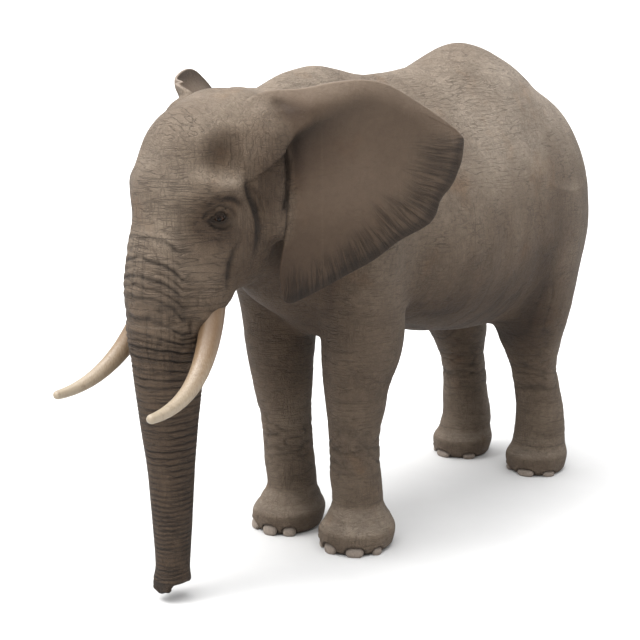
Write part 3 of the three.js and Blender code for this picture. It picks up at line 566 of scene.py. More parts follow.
def relaxed(points, edges, turns):
    """Points moved half way to the middle of their neighbours."""
    a, b = edges[:, 0], edges[:, 1]
    count = np.bincount(a, minlength=len(points)) + np.bincount(b, minlength=len(points))
    count = np.maximum(count, 1)[:, None]
    for _ in range(turns):
        middle = np.empty_like(points)
        for axis in range(3):
            middle[:, axis] = (np.bincount(a, points[b, axis], len(points))
                               + np.bincount(b, points[a, axis], len(points)))
        points = points + (middle / count - points) * 0.5
    return points


def largest_part(points, faces):
    """The vertices and quads of the largest connected part."""
    n = len(points)
    a = faces[:, [0, 1, 2, 3]].ravel()
    b = faces[:, [1, 2, 3, 0]].ravel()
    order = np.argsort(a, kind="stable")
    a, b = a[order], b[order]
    first = np.searchsorted(a, np.arange(n + 1))
    label = np.full(n, -1)
    best, best_size, mark = 0, 0, 0
    for seed in range(n):
        if label[seed] >= 0:
            continue
        front = np.array([seed])
        label[seed] = mark
        size = 0
        while len(front):
            size += len(front)
            lows, highs = first[front], first[front + 1]
            counts = highs - lows
            start = np.repeat(lows - np.concatenate(([0], np.cumsum(counts)[:-1])), counts)
            reached = np.unique(b[start + np.arange(counts.sum())])
            front = reached[label[reached] < 0]
            label[front] = mark
        if size > best_size:
            best, best_size = mark, size
        mark += 1
    keep = label == best
    number = np.cumsum(keep) - 1
    kept_faces = faces[keep[faces[:, 0]]]
    return points[keep], number[kept_faces]


# ---- the skin's net --------------------------------------------------------------------------------
def ear_filler(extra):
    """A thick copy of the left ear, so that the first net doesn't lose its thin rim."""
    line = rounded_outline(EAR_CLOSED, 6)
    centre = np.array([180.0, 2400.0])
    levels = np.linspace(0, 1, 26)[1:]
    flat = [centre] + [lerp(centre, q, t) for t in levels for q in line]
    flat = np.array(flat)
    edge = ear_edge(flat[:, 0], flat[:, 1])
    bow = ear_bow(flat[:, 0], flat[:, 1], edge)
    half = ear_half(flat[:, 0], edge) + extra
    base = EAR_ROOT + flat[:, :1] * EAR_OUT
    base[:, 2] = flat[:, 1]
    sheets = [base + (bow + side * half)[:, None] * EAR_FORE for side in (1, -1)]
    n, m = len(flat), len(line)
    faces = []
    for j in range(m):
        k = (j + 1) % m
        faces.append((0, 1 + j, 1 + k))
        faces.append((n, n + 1 + k, n + 1 + j))
        for i in range(len(levels) - 1):
            a, b = 1 + i * m + j, 1 + i * m + k
            faces.append((a, a + m, b + m, b))
            faces.append((n + a, n + b, n + b + m, n + a + m))
        rim = 1 + (len(levels) - 1) * m
        faces.append((rim + j, n + rim + j, n + rim + k, rim + k))
    return np.vstack(sheets), faces


def first_net():
    bm = bmesh.new()
    for name in FLESH + ["eye_left", "eye_right"]:
        piece = bmesh.new()
        piece.from_mesh(NODES[name].data)
        bmesh.ops.remove_doubles(piece, verts=piece.verts, dist=2e-5)
        piece.normal_update()
        for v in piece.verts:
            v.co += v.normal * 0.003
        mesh = bpy.data.meshes.new("part")
        piece.to_mesh(mesh)
        piece.free()
        bm.from_mesh(mesh)
        bpy.data.meshes.remove(mesh)
    points, faces = ear_filler(9.0)
    for mirror in (1, -1):
        placed = to_world(points * [mirror, 1, 1])
        turned = faces if mirror < 0 else [f[::-1] for f in faces]
        mesh = mesh_of("part", placed, turned, False)
        bm.from_mesh(mesh)
        bpy.data.meshes.remove(mesh)
    joined = bpy.data.meshes.new("joined")
    bm.to_mesh(joined)
    bm.free()
    thing = new_object("joined", joined)
    remesh = thing.modifiers.new("net", "REMESH")
    remesh.mode = "VOXEL"
    remesh.voxel_size = VOXEL
    remesh.adaptivity = 0
    done = thing.evaluated_get(bpy.context.evaluated_depsgraph_get())
    net = done.to_mesh()
    corners = np.empty(len(net.loops), np.int32)
    net.loops.foreach_get("vertex_index", corners)
    points, quads = mesh_points(net), corners.reshape(-1, 4)
    done.to_mesh_clear()
    bpy.data.objects.remove(thing)
    return largest_part(points, quads)


def divided(points, quads, chosen):
    """Each chosen quad becomes four. Its neighbours outside take up the new points on their edges."""
    n = len(points)
    a, b = quads, np.roll(quads, -1, axis=1)
    key = np.minimum(a, b).astype(np.int64) * n + np.maximum(a, b)
    split = np.unique(key[chosen])
    at = np.minimum(np.searchsorted(split, key), len(split) - 1)
    middle = np.where(split[at] == key, n + at, -1)
    centre = n + len(split) + np.arange(chosen.sum())
    more = [points, (points[split // n] + points[split % n]) / 2, points[quads[chosen]].mean(1)]
    corner, halfway = quads[chosen], middle[chosen]
    small = [
        np.stack((corner[:, k], halfway[:, k], centre, halfway[:, k - 1]), 1) for k in range(4)
    ]
    beside = ~chosen & (middle >= 0).any(1)
    mixed = []
    for face, halves in zip(quads[beside], middle[beside]):
        mixed.append([v for pair in zip(face, halves) for v in pair if v >= 0])
    return np.vstack(more), np.vstack([quads[~chosen & ~beside]] + small), mixed


def mesh_of_faces(name, points, quads, mixed):
    """A mesh from many quads and a few faces with more corners."""
    mesh = bpy.data.meshes.new(name)
    corners = np.concatenate([quads.ravel()] + [np.array(face) for face in mixed])
    sizes = np.array([4] * len(quads) + [len(face) for face in mixed])
    mesh.vertices.add(len(points))
    mesh.vertices.foreach_set("co", points.astype(np.float32).ravel())
    mesh.loops.add(len(corners))
    mesh.loops.foreach_set("vertex_index", corners.astype(np.int32))
    mesh.polygons.add(len(sizes))
    starts = np.concatenate(([0], np.cumsum(sizes)[:-1]))
    mesh.polygons.foreach_set("loop_start", starts.astype(np.int32))
    mesh.update(calc_edges=True)
    mesh.validate()
    return mesh


def edges_of(quads, count):
    a, b = quads.ravel(), np.roll(quads, -1, axis=1).ravel()
    key = np.unique(np.minimum(a, b).astype(np.int64) * count + np.maximum(a, b))
    return np.stack((key // count, key % count), 1)


def skin_mesh():
    points, quads = first_net()
    p = drawn_to_form(to_animal(points), 3)
    edges = edges_of(quads, len(p))
    for _ in range(3):
        p = relaxed(p, edges, 3)
        p = drawn_to_form(p, 1)
    mixed = []
    for zone in CLOSER_ZONES:
        p, quads, more = divided(p, quads, zone(folded(p[quads].mean(1))))
        mixed += more
    return mesh_of_faces("skin", to_world(p), quads, mixed)


EYE_CENTRE = to_animal((np.array(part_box("eye_left")[0]) + np.array(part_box("eye_left")[1])) / 2)
EYE_RADIUS = 34.0
EYE_OUT = unit([0.93, -0.36, 0.04])
EYE_FORE = unit(np.cross(EYE_OUT, [0, 0, 1]))
EYE_UP = unit(np.cross(EYE_FORE, EYE_OUT))


# Where the net gets closer, step by step: head, trunk and ears, the mouth of the trunk, and the eyes.
CLOSER_ZONES = [
    lambda q: (q[:, 1] < -640) | (ear(q) < 30),
    lambda q: length(q - [0, -1362, 60]) < 130,
    lambda q: length(q - EYE_CENTRE) < 125,
    lambda q: length(q - EYE_CENTRE) < 70,
]


# ---- folds -----------------------------------------------------------------------------------------
def distance_to_line(p, line):
    """Distance to a row of points, and how far along it the nearest place is, from 0 to 1."""
    line = np.asarray(line, float)
    run = np.linalg.norm(np.diff(line, axis=0), axis=1)
    start = np.concatenate(([0], np.cumsum(run)))
    best = np.full(len(p), 1e9)
    along = np.zeros(len(p))
    for i in range(len(run)):
        axis = line[i + 1] - line[i]
        t = clamp01((p - line[i]) @ axis / (axis @ axis))
        d = length(p - line[i] - t[:, None] * axis)
        closer = d < best
        best = np.where(closer, d, best)
        along = np.where(closer, (start[i] + t * run[i]) / start[-1], along)
    return best, along


# Creases of the head: the line of each, then its width and depth.
FOLDS = [
    ([(331, -1063, 2440), (355, -1050, 2349), (370, -1026, 2287), (385, -1012, 2204), (390, -1026, 2095),
      (378, -1052, 2010)], 24, 17),
    ([(372, -985, 2410), (384, -962, 2340), (390, -940, 2270), (390, -928, 2180), (386, -940, 2070)],
     11, 11),
    ([(352, -1010, 2440), (368, -992, 2350), (381, -975, 2265), (389, -968, 2165)], 8, 7),
    ([(345, -1035, 2450), (362, -1018, 2352), (377, -1000, 2262), (388, -990, 2150)], 7, 6),
    ([(383, -945, 2400), (391, -925, 2300), (392, -908, 2200)], 8, 8),
    ([(392, -905, 2420), (402, -892, 2330), (404, -885, 2230)], 7, 6),
    ([(281, -1304, 2306), (294, -1286, 2334), (314, -1252, 2348), (333, -1202, 2350), (345, -1152, 2336),
      (352, -1110, 2300)], 17, 15),
    ([(402, -912, 2330), (404, -908, 2250), (402, -906, 2170), (396, -908, 2090)], 11, 12),
    ([(268, -1318, 2330), (286, -1290, 2362), (312, -1246, 2374), (334, -1190, 2372)], 7, 4),
    ([(276, -1296, 2232), (300, -1262, 2186), (326, -1208, 2176), (346, -1156, 2200)], 11, 9),
    ([(283, -1300, 2196), (306, -1262, 2150), (334, -1200, 2138), (352, -1140, 2164)], 8, 5),
    ([(288, -1300, 2164), (312, -1256, 2116), (340, -1190, 2104), (356, -1140, 2128)], 7, 4),
    ([(352, -1140, 2110), (350, -1180, 2050), (345, -1205, 1981), (338, -1214, 1900), (328, -1222, 1820)],
     20, 13),
    ([(236, -1392, 1700), (226, -1396, 1660), (212, -1384, 1600)], 15, 9),
    ([(330, -1300, 1985), (318, -1330, 1900), (300, -1340, 1800), (286, -1345, 1700)], 9, 4),
    ([(300, -1340, 1990), (284, -1365, 1900), (270, -1370, 1810), (258, -1368, 1720)], 9, 4),
    ([(345, -1255, 1960), (335, -1275, 1880), (318, -1290, 1790)], 8, 4),
]
# Ridges of the head, the same way: behind the temple, the brow and the sheath of the tusk.
RIDGES = [
    ([(290, -1040, 2740), (316, -1040, 2620), (312, -1062, 2490)], 34, 14),
    ([(262, -1310, 2380), (300, -1240, 2402), (330, -1150, 2392), (344, -1085, 2350)], 32, 4),
    ([(318, -1280, 1960), (316, -1296, 1870), (306, -1296, 1780)], 34, 12),
]


def fold_depth(p):
    depth = np.zeros(len(p))
    head_part = (p[:, 1] < -820) & (p[:, 2] > 1450)
    q = p[head_part]
    total = np.zeros(len(q))
    for line, width, high in RIDGES:
        d, along = distance_to_line(q, line)
        total -= high * np.sqrt(clamp01(5 * along * (1 - along)) + 0.03) * bell(d, width)
    for line, width, deep in FOLDS:
        d, along = distance_to_line(q, line)
        taper = np.sqrt(clamp01(4 * along * (1 - along)) + 0.02)
        groove = bell(d, width)
        shoulder = 0.35 * bell(d - 2.1 * width, 1.2 * width)
        total += deep * taper * (groove - shoulder)
    depth[head_part] = total
    return depth


HIGH_RINGS = [2235, 2130, 2027, 1928, 1811, 1697, 1613, 1530, 1471, 1406, 1351]
LOW_RING_SPACING = profile([(0, 25), (450, 28), (800, 38), (1350, 46)])


def ring_heights(low):
    """Heights of the creases on the front of the trunk, from its tip to the forehead."""
    heights = list(HIGH_RINGS)
    while heights[-1] > low:
        heights.append(heights[-1] - float(LOW_RING_SPACING(heights[-1])))
    return np.array(heights[::-1], float)


RINGS = ring_heights(TRUNK_TIP + 90)
RING_DROP = profile([
    (1330, -10), (1471, 12), (1560, 30), (1640, 70), (1720, 100), (1850, 112), (1980, 100), (2100, 62),
])


def ring_relief(p):
    """Rings of skin round the trunk and on its root, and the painted shade in their creases."""
    x, y, z = p.T
    centre = TRUNK_CENTRE(np.minimum(z, 1600))
    around = np.hypot(x, y - centre)
    bend = np.degrees(np.arctan2(x, centre - y))
    on_trunk = smooth(1700, 1600, z) * smooth(TRUNK_WIDTH(z) + 60, TRUNK_WIDTH(z) + 20, around)
    on_root = smooth(1600, 1700, z) * smooth(2230, 2080, z) * smooth(-1120, -1230, y)
    on_root = on_root * smooth(92, 62, bend)
    share = np.maximum(on_trunk, on_root)
    flat = np.stack((bend * 3.2, z, np.zeros_like(z)), 1)
    level = z + RING_DROP(z + 50) * clamp01(bend / 66) ** 2.8
    phase = np.interp(level, RINGS, np.arange(len(RINGS)))
    gap = np.interp(level, RINGS[:-1], np.diff(RINGS))
    phase = phase + 0.16 * noise(flat, (150, 120, 1), 4) + 0.10 * noise(flat, (46, 60, 1), 9)
    near = np.abs(phase - np.round(phase))
    half = np.abs(phase + 0.5 - np.round(phase + 0.5))
    narrow = np.maximum(0.12, 7.0 / gap)
    strength = clamp01(0.8 + 0.55 * noise(flat, (110, 90, 1), 7))
    groove = bell(near, narrow)
    wide = smooth(60, 90, gap)
    minor = wide * bell(half, 0.08) * smooth(-0.2, 0.4, noise(flat, (120, 60, 1), 12))
    cracks = noise(flat, (26, 260, 1), 15)
    upright = bell(cracks, 0.10) * smooth(45, 70, gap)
    swell = 1 - (2 * near) ** 2
    depth = np.minimum(gap * 0.19, 11) * groove * strength + 3.5 * minor + 2.0 * upright
    rear = smooth(-20, 80, y - centre)
    move = np.minimum(gap * 0.10, 9) * swell * (1 + 0.5 * rear) - depth
    return share * move, share * clamp01(0.9 * groove * strength + 0.5 * minor + 0.35 * upright)


def leg_relief(p):
    """Loose skin over wrists, hocks and elbows: broken creases across the leg, with painted shade in them.
    """
    x, y, z = p.T
    on_leg = smooth(1450, 1150, z) * smooth(110, 200, z) * smooth(-700, -500, y)
    rear = smooth(900, 1100, y)
    lines = noise(p, (240, 240, 54), 21) + 0.5 * noise(p, (110, 110, 30), 22)
    creases = bell(lines, 0.12)
    tilted = noise(p + np.stack((z * 0, z * 0, 0.55 * (x + y)), 1), (190, 190, 44), 25)
    slanting = bell(tilted, 0.11)
    wrist = bell(z - lerp(640, 700, rear), 150)
    ankle = bell(z - 250, 60)
    bands = bell(noise(p, (400, 400, 42), 27), 0.16)
    loose = wrist + 0.4
    move = on_leg * (-4.6 * loose * creases - 3.8 * loose * slanting - 5.0 * ankle * bands)
    dark = on_leg * (0.65 * loose * creases + 0.4 * loose * slanting + 0.8 * ankle * bands)
    return move, clamp01(dark)


NAILS = {
    "front": (FRONT_FOOT, FRONT_SOLE, [(-42, 46, 44), (-9, 54, 48), (34, 60, 45), (74, 38, 38)]),
    "rear": (REAR_FOOT, REAR_SOLE, [(-48, 50, 32), (9, 66, 37), (57, 50, 30)]),
}
NAIL_THICKNESS = 26.0
NAIL_INSET = 26.0


def nail_places(kind):
    """Middle, outward and sideways directions of each nail of the left foot."""
    foot, sole, nails = NAILS[kind]
    places = []
    for bearing, half_width, half_height in nails:
        size = (half_width, NAIL_THICKNESS, half_height)
        angle = math.radians(bearing)
        reach = 1 / math.hypot(math.sin(angle) / sole[0], math.cos(angle) / sole[1]) - NAIL_INSET
        outward = np.array([math.sin(angle), -math.cos(angle), 0.0])
        sideways = np.array([math.cos(angle), math.sin(angle), 0.0])
        middle = foot + outward * reach + [0, 0, size[2] * 0.66]
        places.append((middle, outward, sideways, size))
    return places


def foot_relief(p):
    """Cuticles swell round the nails, the skin dips under them, and toes part between them, with painted
    shade round the edge of each nail.
    """
    move = np.zeros(len(p))
    dark = np.zeros(len(p))
    low = p[:, 2] < 260
    q = p[low]
    total = np.zeros(len(q))
    shade = np.zeros(len(q))
    for kind in NAILS:
        for middle, outward, sideways, size in nail_places(kind):
            d = q - middle
            a, b, c = d @ sideways / size[0], d @ outward / 60.0, d[:, 2] / (size[2] * 0.9)
            away = (np.sqrt(a * a + c * c) - 1) * 40
            facing = smooth(0.0, 0.5, b + 0.6)
            total += facing * 8 * bell(away - 9, 8)
            total -= facing * 10 * smooth(2, -6, away)
            shade += facing * bell(away - 1, 5)
            toe = bell(a * 0.85, 1) * bell(d[:, 2] - 60, 75)
            total += facing * 9 * toe
    move[low] = total
    dark[low] = np.minimum(shade, 1)
    return move, dark


def fold_line(p, points, width, height):
    """A soft ridge, or with a negative height a dip, along a row of points."""
    d, along = distance_to_line(p, points)
    return height * np.sqrt(clamp01(5 * along * (1 - along)) + 0.03) * bell(d, width)


def body_relief(p):
    """Slack of the hide: broad unevenness, the shoulder blade, ribs, and loose folds on the flank, with
    painted shade in the folds that hang low on it.
    """
    q = folded(p)
    _, y, z = q.T
    broad = 5.0 * layered(p, 420, 31, 2)
    slack = 1.6 * layered(p, (130, 130, 100), 35, 2)
    trunk_part = smooth(-1150, -1250, y) * smooth(1700, 1600, z)
    hang = noise(p, (300, 80, 300), 41)
    belly = smooth(1750, 1400, z) * smooth(200, 500, y) * smooth(1900, 1700, y)
    upright = bell(hang, 0.14)
    shape = fold_line(q, [(430, -120, 2500), (520, -60, 2150), (500, -90, 1750)], 120, 20)
    shape += fold_line(q, [(560, 240, 2350), (610, 230, 2000), (560, 215, 1620)], 75, -14)
    shape += fold_line(q, [(640, 1330, 2250), (660, 1420, 1850), (560, 1560, 1430)], 80, -16)
    shape += fold_line(q, [(330, 1500, 2900), (520, 1700, 2550), (600, 1850, 2100)], 110, 14)
    shape += fold_line(q, [(200, 300, 2830), (360, 900, 2780), (380, 1300, 2850)], 120, -10)
    ribs = 3.0 * np.sin(y / 34) * smooth(500, 800, y) * smooth(1400, 1150, y) * bell(z - 1900, 320)
    move = (broad + slack) * (1 - 0.85 * trunk_part) + shape + ribs - 3.2 * belly * upright
    return move, 0.4 * belly * upright


def ear_share(p):
    """1 on the free sheet of the ear, 0 on the head."""
    return smooth(14, 60, flesh(p))


# The fold that runs from the ear's opening up along its top, as (reach, height, step).
HELIX = [
    (-70, 2520, 30), (7, 2573, 44), (41, 2621, 46), (103, 2685, 42), (178, 2734, 34), (272, 2775, 24),
    (360, 2815, 17), (480, 2865, 11), (640, 2850, 6), (800, 2780, 3),
]


def beside_line(u, z, rows):
    """Signed distance to a row of points, positive above it, and the third value of the rows there."""
    flat = np.stack((u, z), 1)
    rows = np.asarray(rows, float)
    best = np.full(len(u), 1e9)
    side = np.ones(len(u))
    value = np.zeros(len(u))
    for a, b in zip(rows[:-1], rows[1:]):
        axis = b[:2] - a[:2]
        t = clamp01((flat - a[:2]) @ axis / (axis @ axis))
        gap = flat - a[:2] - t[:, None] * axis
        d = np.hypot(gap[:, 0], gap[:, 1])
        closer = d < best
        best = np.where(closer, d, best)
        side = np.where(closer, np.sign(axis[0] * gap[:, 1] - axis[1] * gap[:, 0]), side)
        value = np.where(closer, lerp(a[2], b[2], t), value)
    return best * side, value


FAN_MIDDLE = (110.0, 2640.0)             # the wrinkles of the rim fan out from here: reach and height
RIM = [(u, z, 1) for u, z in EAR_OUTLINE[8:18]]


def ear_relief(p, share):
    """How far the sheet of the ear moves forward, its painted shade under the upper fold, in the opening,
    in the hollow and between the ripples, a darker band along the rim, and marks for its material.
    """
    u, w, z = ear_space(p)
    edge = ear_edge(u, z)
    bow = ear_bow(u, z, edge)
    front = smooth(-7, 7, w - bow)
    side, step = beside_line(u, z, HELIX)
    soft = 12 + 0.17 * np.maximum(u, 0)
    raised = step * smooth(-soft, soft, side) * bell(np.maximum(side - soft, 0), 150)
    sunk = 0.4 * step * bell(side, 70 + soft) * smooth(soft, -soft, side)
    slit, _ = beside_line(u, z, [(22, 2590, 1), (36, 2500, 1), (34, 2420, 1), (20, 2340, 1), (2, 2270, 1)])
    groove, _ = beside_line(u, z, [(30, 2350, 1), (20, 2250, 1), (12, 2165, 1), (4, 2105, 1)])
    tragus = bell(u + 14, 20) * bell(z - 2490, 62)
    hollow = bell(u - 5, 62) * bell(z - 2828, 30)
    move = raised - sunk + 15 * tragus - 24 * hollow
    move -= 30 * bell(slit, 15) + 10 * bell(groove, 8)

    rim = smooth(2680, 2560, z) * smooth(-60, 60, u) * share
    low = -np.abs(beside_line(u, z, RIM)[0])
    bearing = 950 * np.arctan2(u - FAN_MIDDLE[0], FAN_MIDDLE[1] - z)
    across = np.stack((bearing, low, np.zeros_like(z)), 1)
    ray = bearing + 16 * noise(across, (170, 130, 1), 50)
    flat = np.stack((ray, low * 0.13, np.zeros_like(z)), 1)
    ripples = noise(flat, (19, 26, 1), 51) + 0.35 * noise(flat, (9, 16, 1), 52)
    reach = lerp(220, 400, smooth(250, 900, u)) * (1 + 0.35 * noise(across, (60, 900, 1), 57))
    band = smooth(-reach, -0.3 * reach, low) * lerp(1.0, 0.5, smooth(-34, -6, low))
    waves = noise(np.stack((bearing, low * 0.3, low * 0), 1), (210, 200, 1), 53)
    move += rim * (3.4 * ripples * band + 11 * waves * smooth(-330, 0, low))
    move += 8 * noise(p, 260, 55) * share

    dark = 0.9 * bell(np.maximum(-side, 0), 50 + 1.2 * soft) * smooth(0.8 * soft, -0.6 * soft, side)
    dark *= clamp01(step / 36) * share
    dark += 1.0 * bell(slit, 27) + 0.8 * bell(groove, 8) + 0.5 * hollow
    dark += rim * (0.30 * band * smooth(0.05, -0.5, ripples) + 0.22 * band + 0.75 * smooth(-85, -22, low))
    pale = 0.7 * smooth(-10, -2, edge) * share
    pale += share * 0.55 * bell(u - 330, 260) * bell(z - 2400, 190)
    marks = {
        "pale": clamp01(pale),
        "ray": ray / 1000 * share,
        "fan": rim * band * front,
    }
    return move, clamp01(dark) * front, marks


# ---- eyes ------------------------------------------------------------------------------------------
LID_REACH, LID_TOP = 33.0, 18.0          # half the length of the eye's opening and its rise


def eye_space(p):
    d = p - EYE_CENTRE
    return d @ EYE_FORE, d @ EYE_UP, d @ EYE_OUT


def opening(a, b):
    """Distance outside the edge of the lids; below zero between them."""
    half = LID_REACH
    t = np.clip(a / half, -1, 1)
    tilt = -3.5 * t
    top = LID_TOP * (1 - t * t) ** 0.75 + tilt
    low = -15.0 * (1 - t * t) ** 0.85 + tilt
    s = np.maximum(b - top, low - b)
    past = np.hypot(np.maximum(np.abs(a) - half, 0), b - tilt)
    return np.where(np.abs(a) > half, np.maximum(past, 0.2), s)


def with_lids(p):
    """The skin round the eye, as heights over the plane that faces outwards from it, with painted shade at
    the edge of the lids, in their folds and below the eye.
    """
    q = folded(p)
    a, b, c = eye_space(q)
    r = np.hypot(a, b)
    near = (r < 118) & (c > -60) & (c < 80)
    a, b, c, r = a[near], b[near], c[near], r[near]
    s = opening(a, b)
    socket = 11 * bell(r - 58, 26) * (0.6 + 0.4 * np.clip(b / 40 + 0.5, 0, 1))
    c1 = c - socket
    dome = np.sqrt(np.maximum((EYE_RADIUS + 6.5) ** 2 - r ** 2, 0)) - 60 * (r >= EYE_RADIUS + 6.5)
    gap = np.maximum(18 - np.abs(c1 - dome), 0) / 18
    lids = np.maximum(c1, dome) + gap * gap * 18 / 4
    upper = smooth(-6, 6, b)
    lids += 3.0 * bell(s - 4, 3.5)
    lids -= 7.0 * bell(s - 14, 5.5) * (0.35 + 0.65 * upper)
    lids += 7.0 * bell(s - 32, 11) * upper
    lids -= 6.0 * bell(s - 56, 8) * (0.3 + 0.7 * upper)
    ball = np.sqrt(np.maximum(EYE_RADIUS ** 2 - r ** 2, 0))
    inside = smooth(1.6, -1.2, s)
    shaped = lerp(lids, ball - 10, inside)
    shift = (shaped - c)[:, None] * EYE_OUT
    shift[:, 0] *= np.where(p[near, 0] < 0, -1, 1)
    p[near] += shift
    dark = np.zeros(len(p))
    folds = 0.75 * bell(s - 14, 7) + 0.6 * bell(s - 56, 10)
    below = 0.55 * bell(s - 22, 22) * (1 - upper)
    dark[near] = clamp01(1.1 * bell(np.maximum(s, 0), 9) + folds * (0.3 + 0.7 * upper) + below)
    return p, dark


# ---- materials -------------------------------------------------------------------------------------
def srgb(r, g, b):
    def linear(v):
        v /= 255
        return v / 12.92 if v <= 0.04045 else ((v + 0.055) / 1.055) ** 2.4
    return (linear(r), linear(g), linear(b), 1.0)


class Shader:
    """A short way to write a node material."""

    def __init__(self, name):
        self.material = bpy.data.materials.new(name)
        self.material.use_nodes = True
        self.tree = self.material.node_tree
        self.base = self.tree.nodes["Principled BSDF"]
        self.place = self.add("ShaderNodeTexCoord").outputs["Object"]

    def add(self, kind, inputs=None, **settings):
        node = self.tree.nodes.new(kind)
        for key, value in settings.items():
            setattr(node, key, value)
        for key, value in (inputs or {}).items():
            socket = node.inputs[key]
            if isinstance(value, bpy.types.NodeSocket):
                self.tree.links.new(value, socket)
            else:
                socket.default_value = value
        return node

    def math(self, operation, a, b=0.0, clamp=False):
        node = self.add("ShaderNodeMath", {0: a, 1: b}, operation=operation)
        node.use_clamp = clamp
        return node.outputs[0]

    def attribute(self, name):
        return self.add("ShaderNodeAttribute", attribute_name=name).outputs["Fac"]

    def stretched(self, scale, turn=(0, 0, 0)):
        node = self.add("ShaderNodeMapping", {"Vector": self.place, "Scale": scale, "Rotation": turn})
        return node.outputs[0]

    def noise(self, scale, detail=3.0, vector=None, rough=0.55):
        return self.add("ShaderNodeTexNoise", {
            "Vector": vector or self.place, "Scale": scale, "Detail": detail, "Roughness": rough,
        }).outputs["Fac"]

    def cells(self, scale, vector):
        """Distance to the borders between cells."""
        node = self.add("ShaderNodeTexVoronoi", {"Vector": vector, "Scale": scale})
        node.feature = "DISTANCE_TO_EDGE"
        return node.outputs["Distance"]

    def ramp(self, value, low, high, to_low=0.0, to_high=1.0):
        return self.add("ShaderNodeMapRange", {
            "Value": value, "From Min": low, "From Max": high, "To Min": to_low, "To Max": to_high,
        }).outputs["Result"]

    def mix(self, share, a, b, blend="MIX"):
        node = self.add("ShaderNodeMix", data_type="RGBA", blend_type=blend)
        for socket, value in (("Factor", share), ("A", a), ("B", b)):
            for entry in node.inputs:
                if entry.name == socket and entry.type == ("VALUE" if socket == "Factor" else "RGBA"):
                    if isinstance(value, bpy.types.NodeSocket):
                        self.tree.links.new(value, entry)
                    else:
                        entry.default_value = value
                    break
        return [o for o in node.outputs if o.type == "RGBA"][0]

    def bump(self, height, distance, strength=1.0, normal=None):
        inputs = {"Height": height, "Distance": distance, "Strength": strength}
        if normal is not None:
            inputs["Normal"] = normal
        return self.add("ShaderNodeBump", inputs).outputs["Normal"]

    def finish(self, color, roughness, normal=None, **constants):
        links = self.tree.links
        links.new(color, self.base.inputs["Base Color"])
        if isinstance(roughness, bpy.types.NodeSocket):
            links.new(roughness, self.base.inputs["Roughness"])
        else:
            self.base.inputs["Roughness"].default_value = roughness
        if normal is not None:
            links.new(normal, self.base.inputs["Normal"])
        for key, value in constants.items():
            self.base.inputs[key.replace("_", " ")].default_value = value
        return self.material


# Painted light and shade on the hide, lighter on the back and the brow, darker in hollows, under the neck
# and under the body: middle, radii and share of each soft patch, on the left side.
LIGHT_AND_SHADE_PATCHES = [
    ((60, -1050, 2830), (330, 330, 150), -0.10),
    ((0, -1400, 2560), (260, 180, 200), 0.17),
    ((20, -1450, 2330), (230, 110, 380), 0.28),
    ((245, -1185, 2566), (135, 190, 118), -0.36),
    ((280, -1285, 2185), (155, 165, 155), -0.46),
    ((420, -925, 2445), (90, 110, 180), -0.48),
    ((345, -930, 2700), (110, 120, 70), -0.14),
    ((360, -1000, 2060), (130, 230, 260), -0.26),
    ((330, -1050, 1880), (170, 260, 130), -0.24),
    ((300, -560, 1900), (260, 240, 380), -0.40),
    ((110, -480, 1640), (240, 260, 190), -0.36),
    ((0, -300, 3000), (500, 420, 180), 0.12),
    ((450, 1650, 2650), (420, 720, 450), 0.46),
    ((640, 900, 2380), (260, 900, 380), 0.24),
    ((520, -60, 2000), (200, 300, 420), 0.18),
    ((0, 950, 1290), (640, 900, 380), -0.42),
    ((590, 1440, 1560), (220, 260, 380), -0.44),
    ((400, 1600, 1150), (260, 330, 300), -0.20),
    ((620, 1700, 1900), (160, 130, 260), -0.16),
    ((90, 0, 1350), (230, 420, 330), -0.22),
]


# Soft lines of painted shade in the hollows and creases of the head, and of painted light on its ridges:
# each line, its width and share.
STROKES = [
    ([(262, -1325, 2290), (281, -1308, 2318), (320, -1273, 2350), (339, -1207, 2348), (354, -1129, 2314),
      (358, -1095, 2270)], 24, -0.42),
    ([(290, -1288, 2250), (262, -1318, 2215), (240, -1345, 2159)], 38, -0.30),
    ([(285, -1290, 2190), (305, -1250, 2170), (335, -1195, 2166)], 34, -0.40),
    ([(331, -1063, 2404), (355, -1050, 2349), (372, -1026, 2287), (387, -1014, 2204), (391, -1026, 2095)],
     34, -0.46),
    ([(404, -905, 2330), (407, -898, 2250), (404, -896, 2170), (398, -900, 2090)], 13, -0.45),
    ([(300, -1262, 2288), (318, -1235, 2296), (330, -1200, 2284)], 13, 0.35),
    ([(262, -1290, 2440), (300, -1200, 2440), (335, -1130, 2400), (352, -1085, 2340)], 36, 0.05),
    ([(443, -892, 2530), (443, -890, 2470)], 15, 0.35),
    ([(358, -1120, 2250), (352, -1165, 2170)], 30, 0.14),
    ([(395, -985, 2340), (402, -960, 2200)], 9, 0.22),
]


# The darkest that painted shade and tone may make the hide.
DARKEST = 0.32


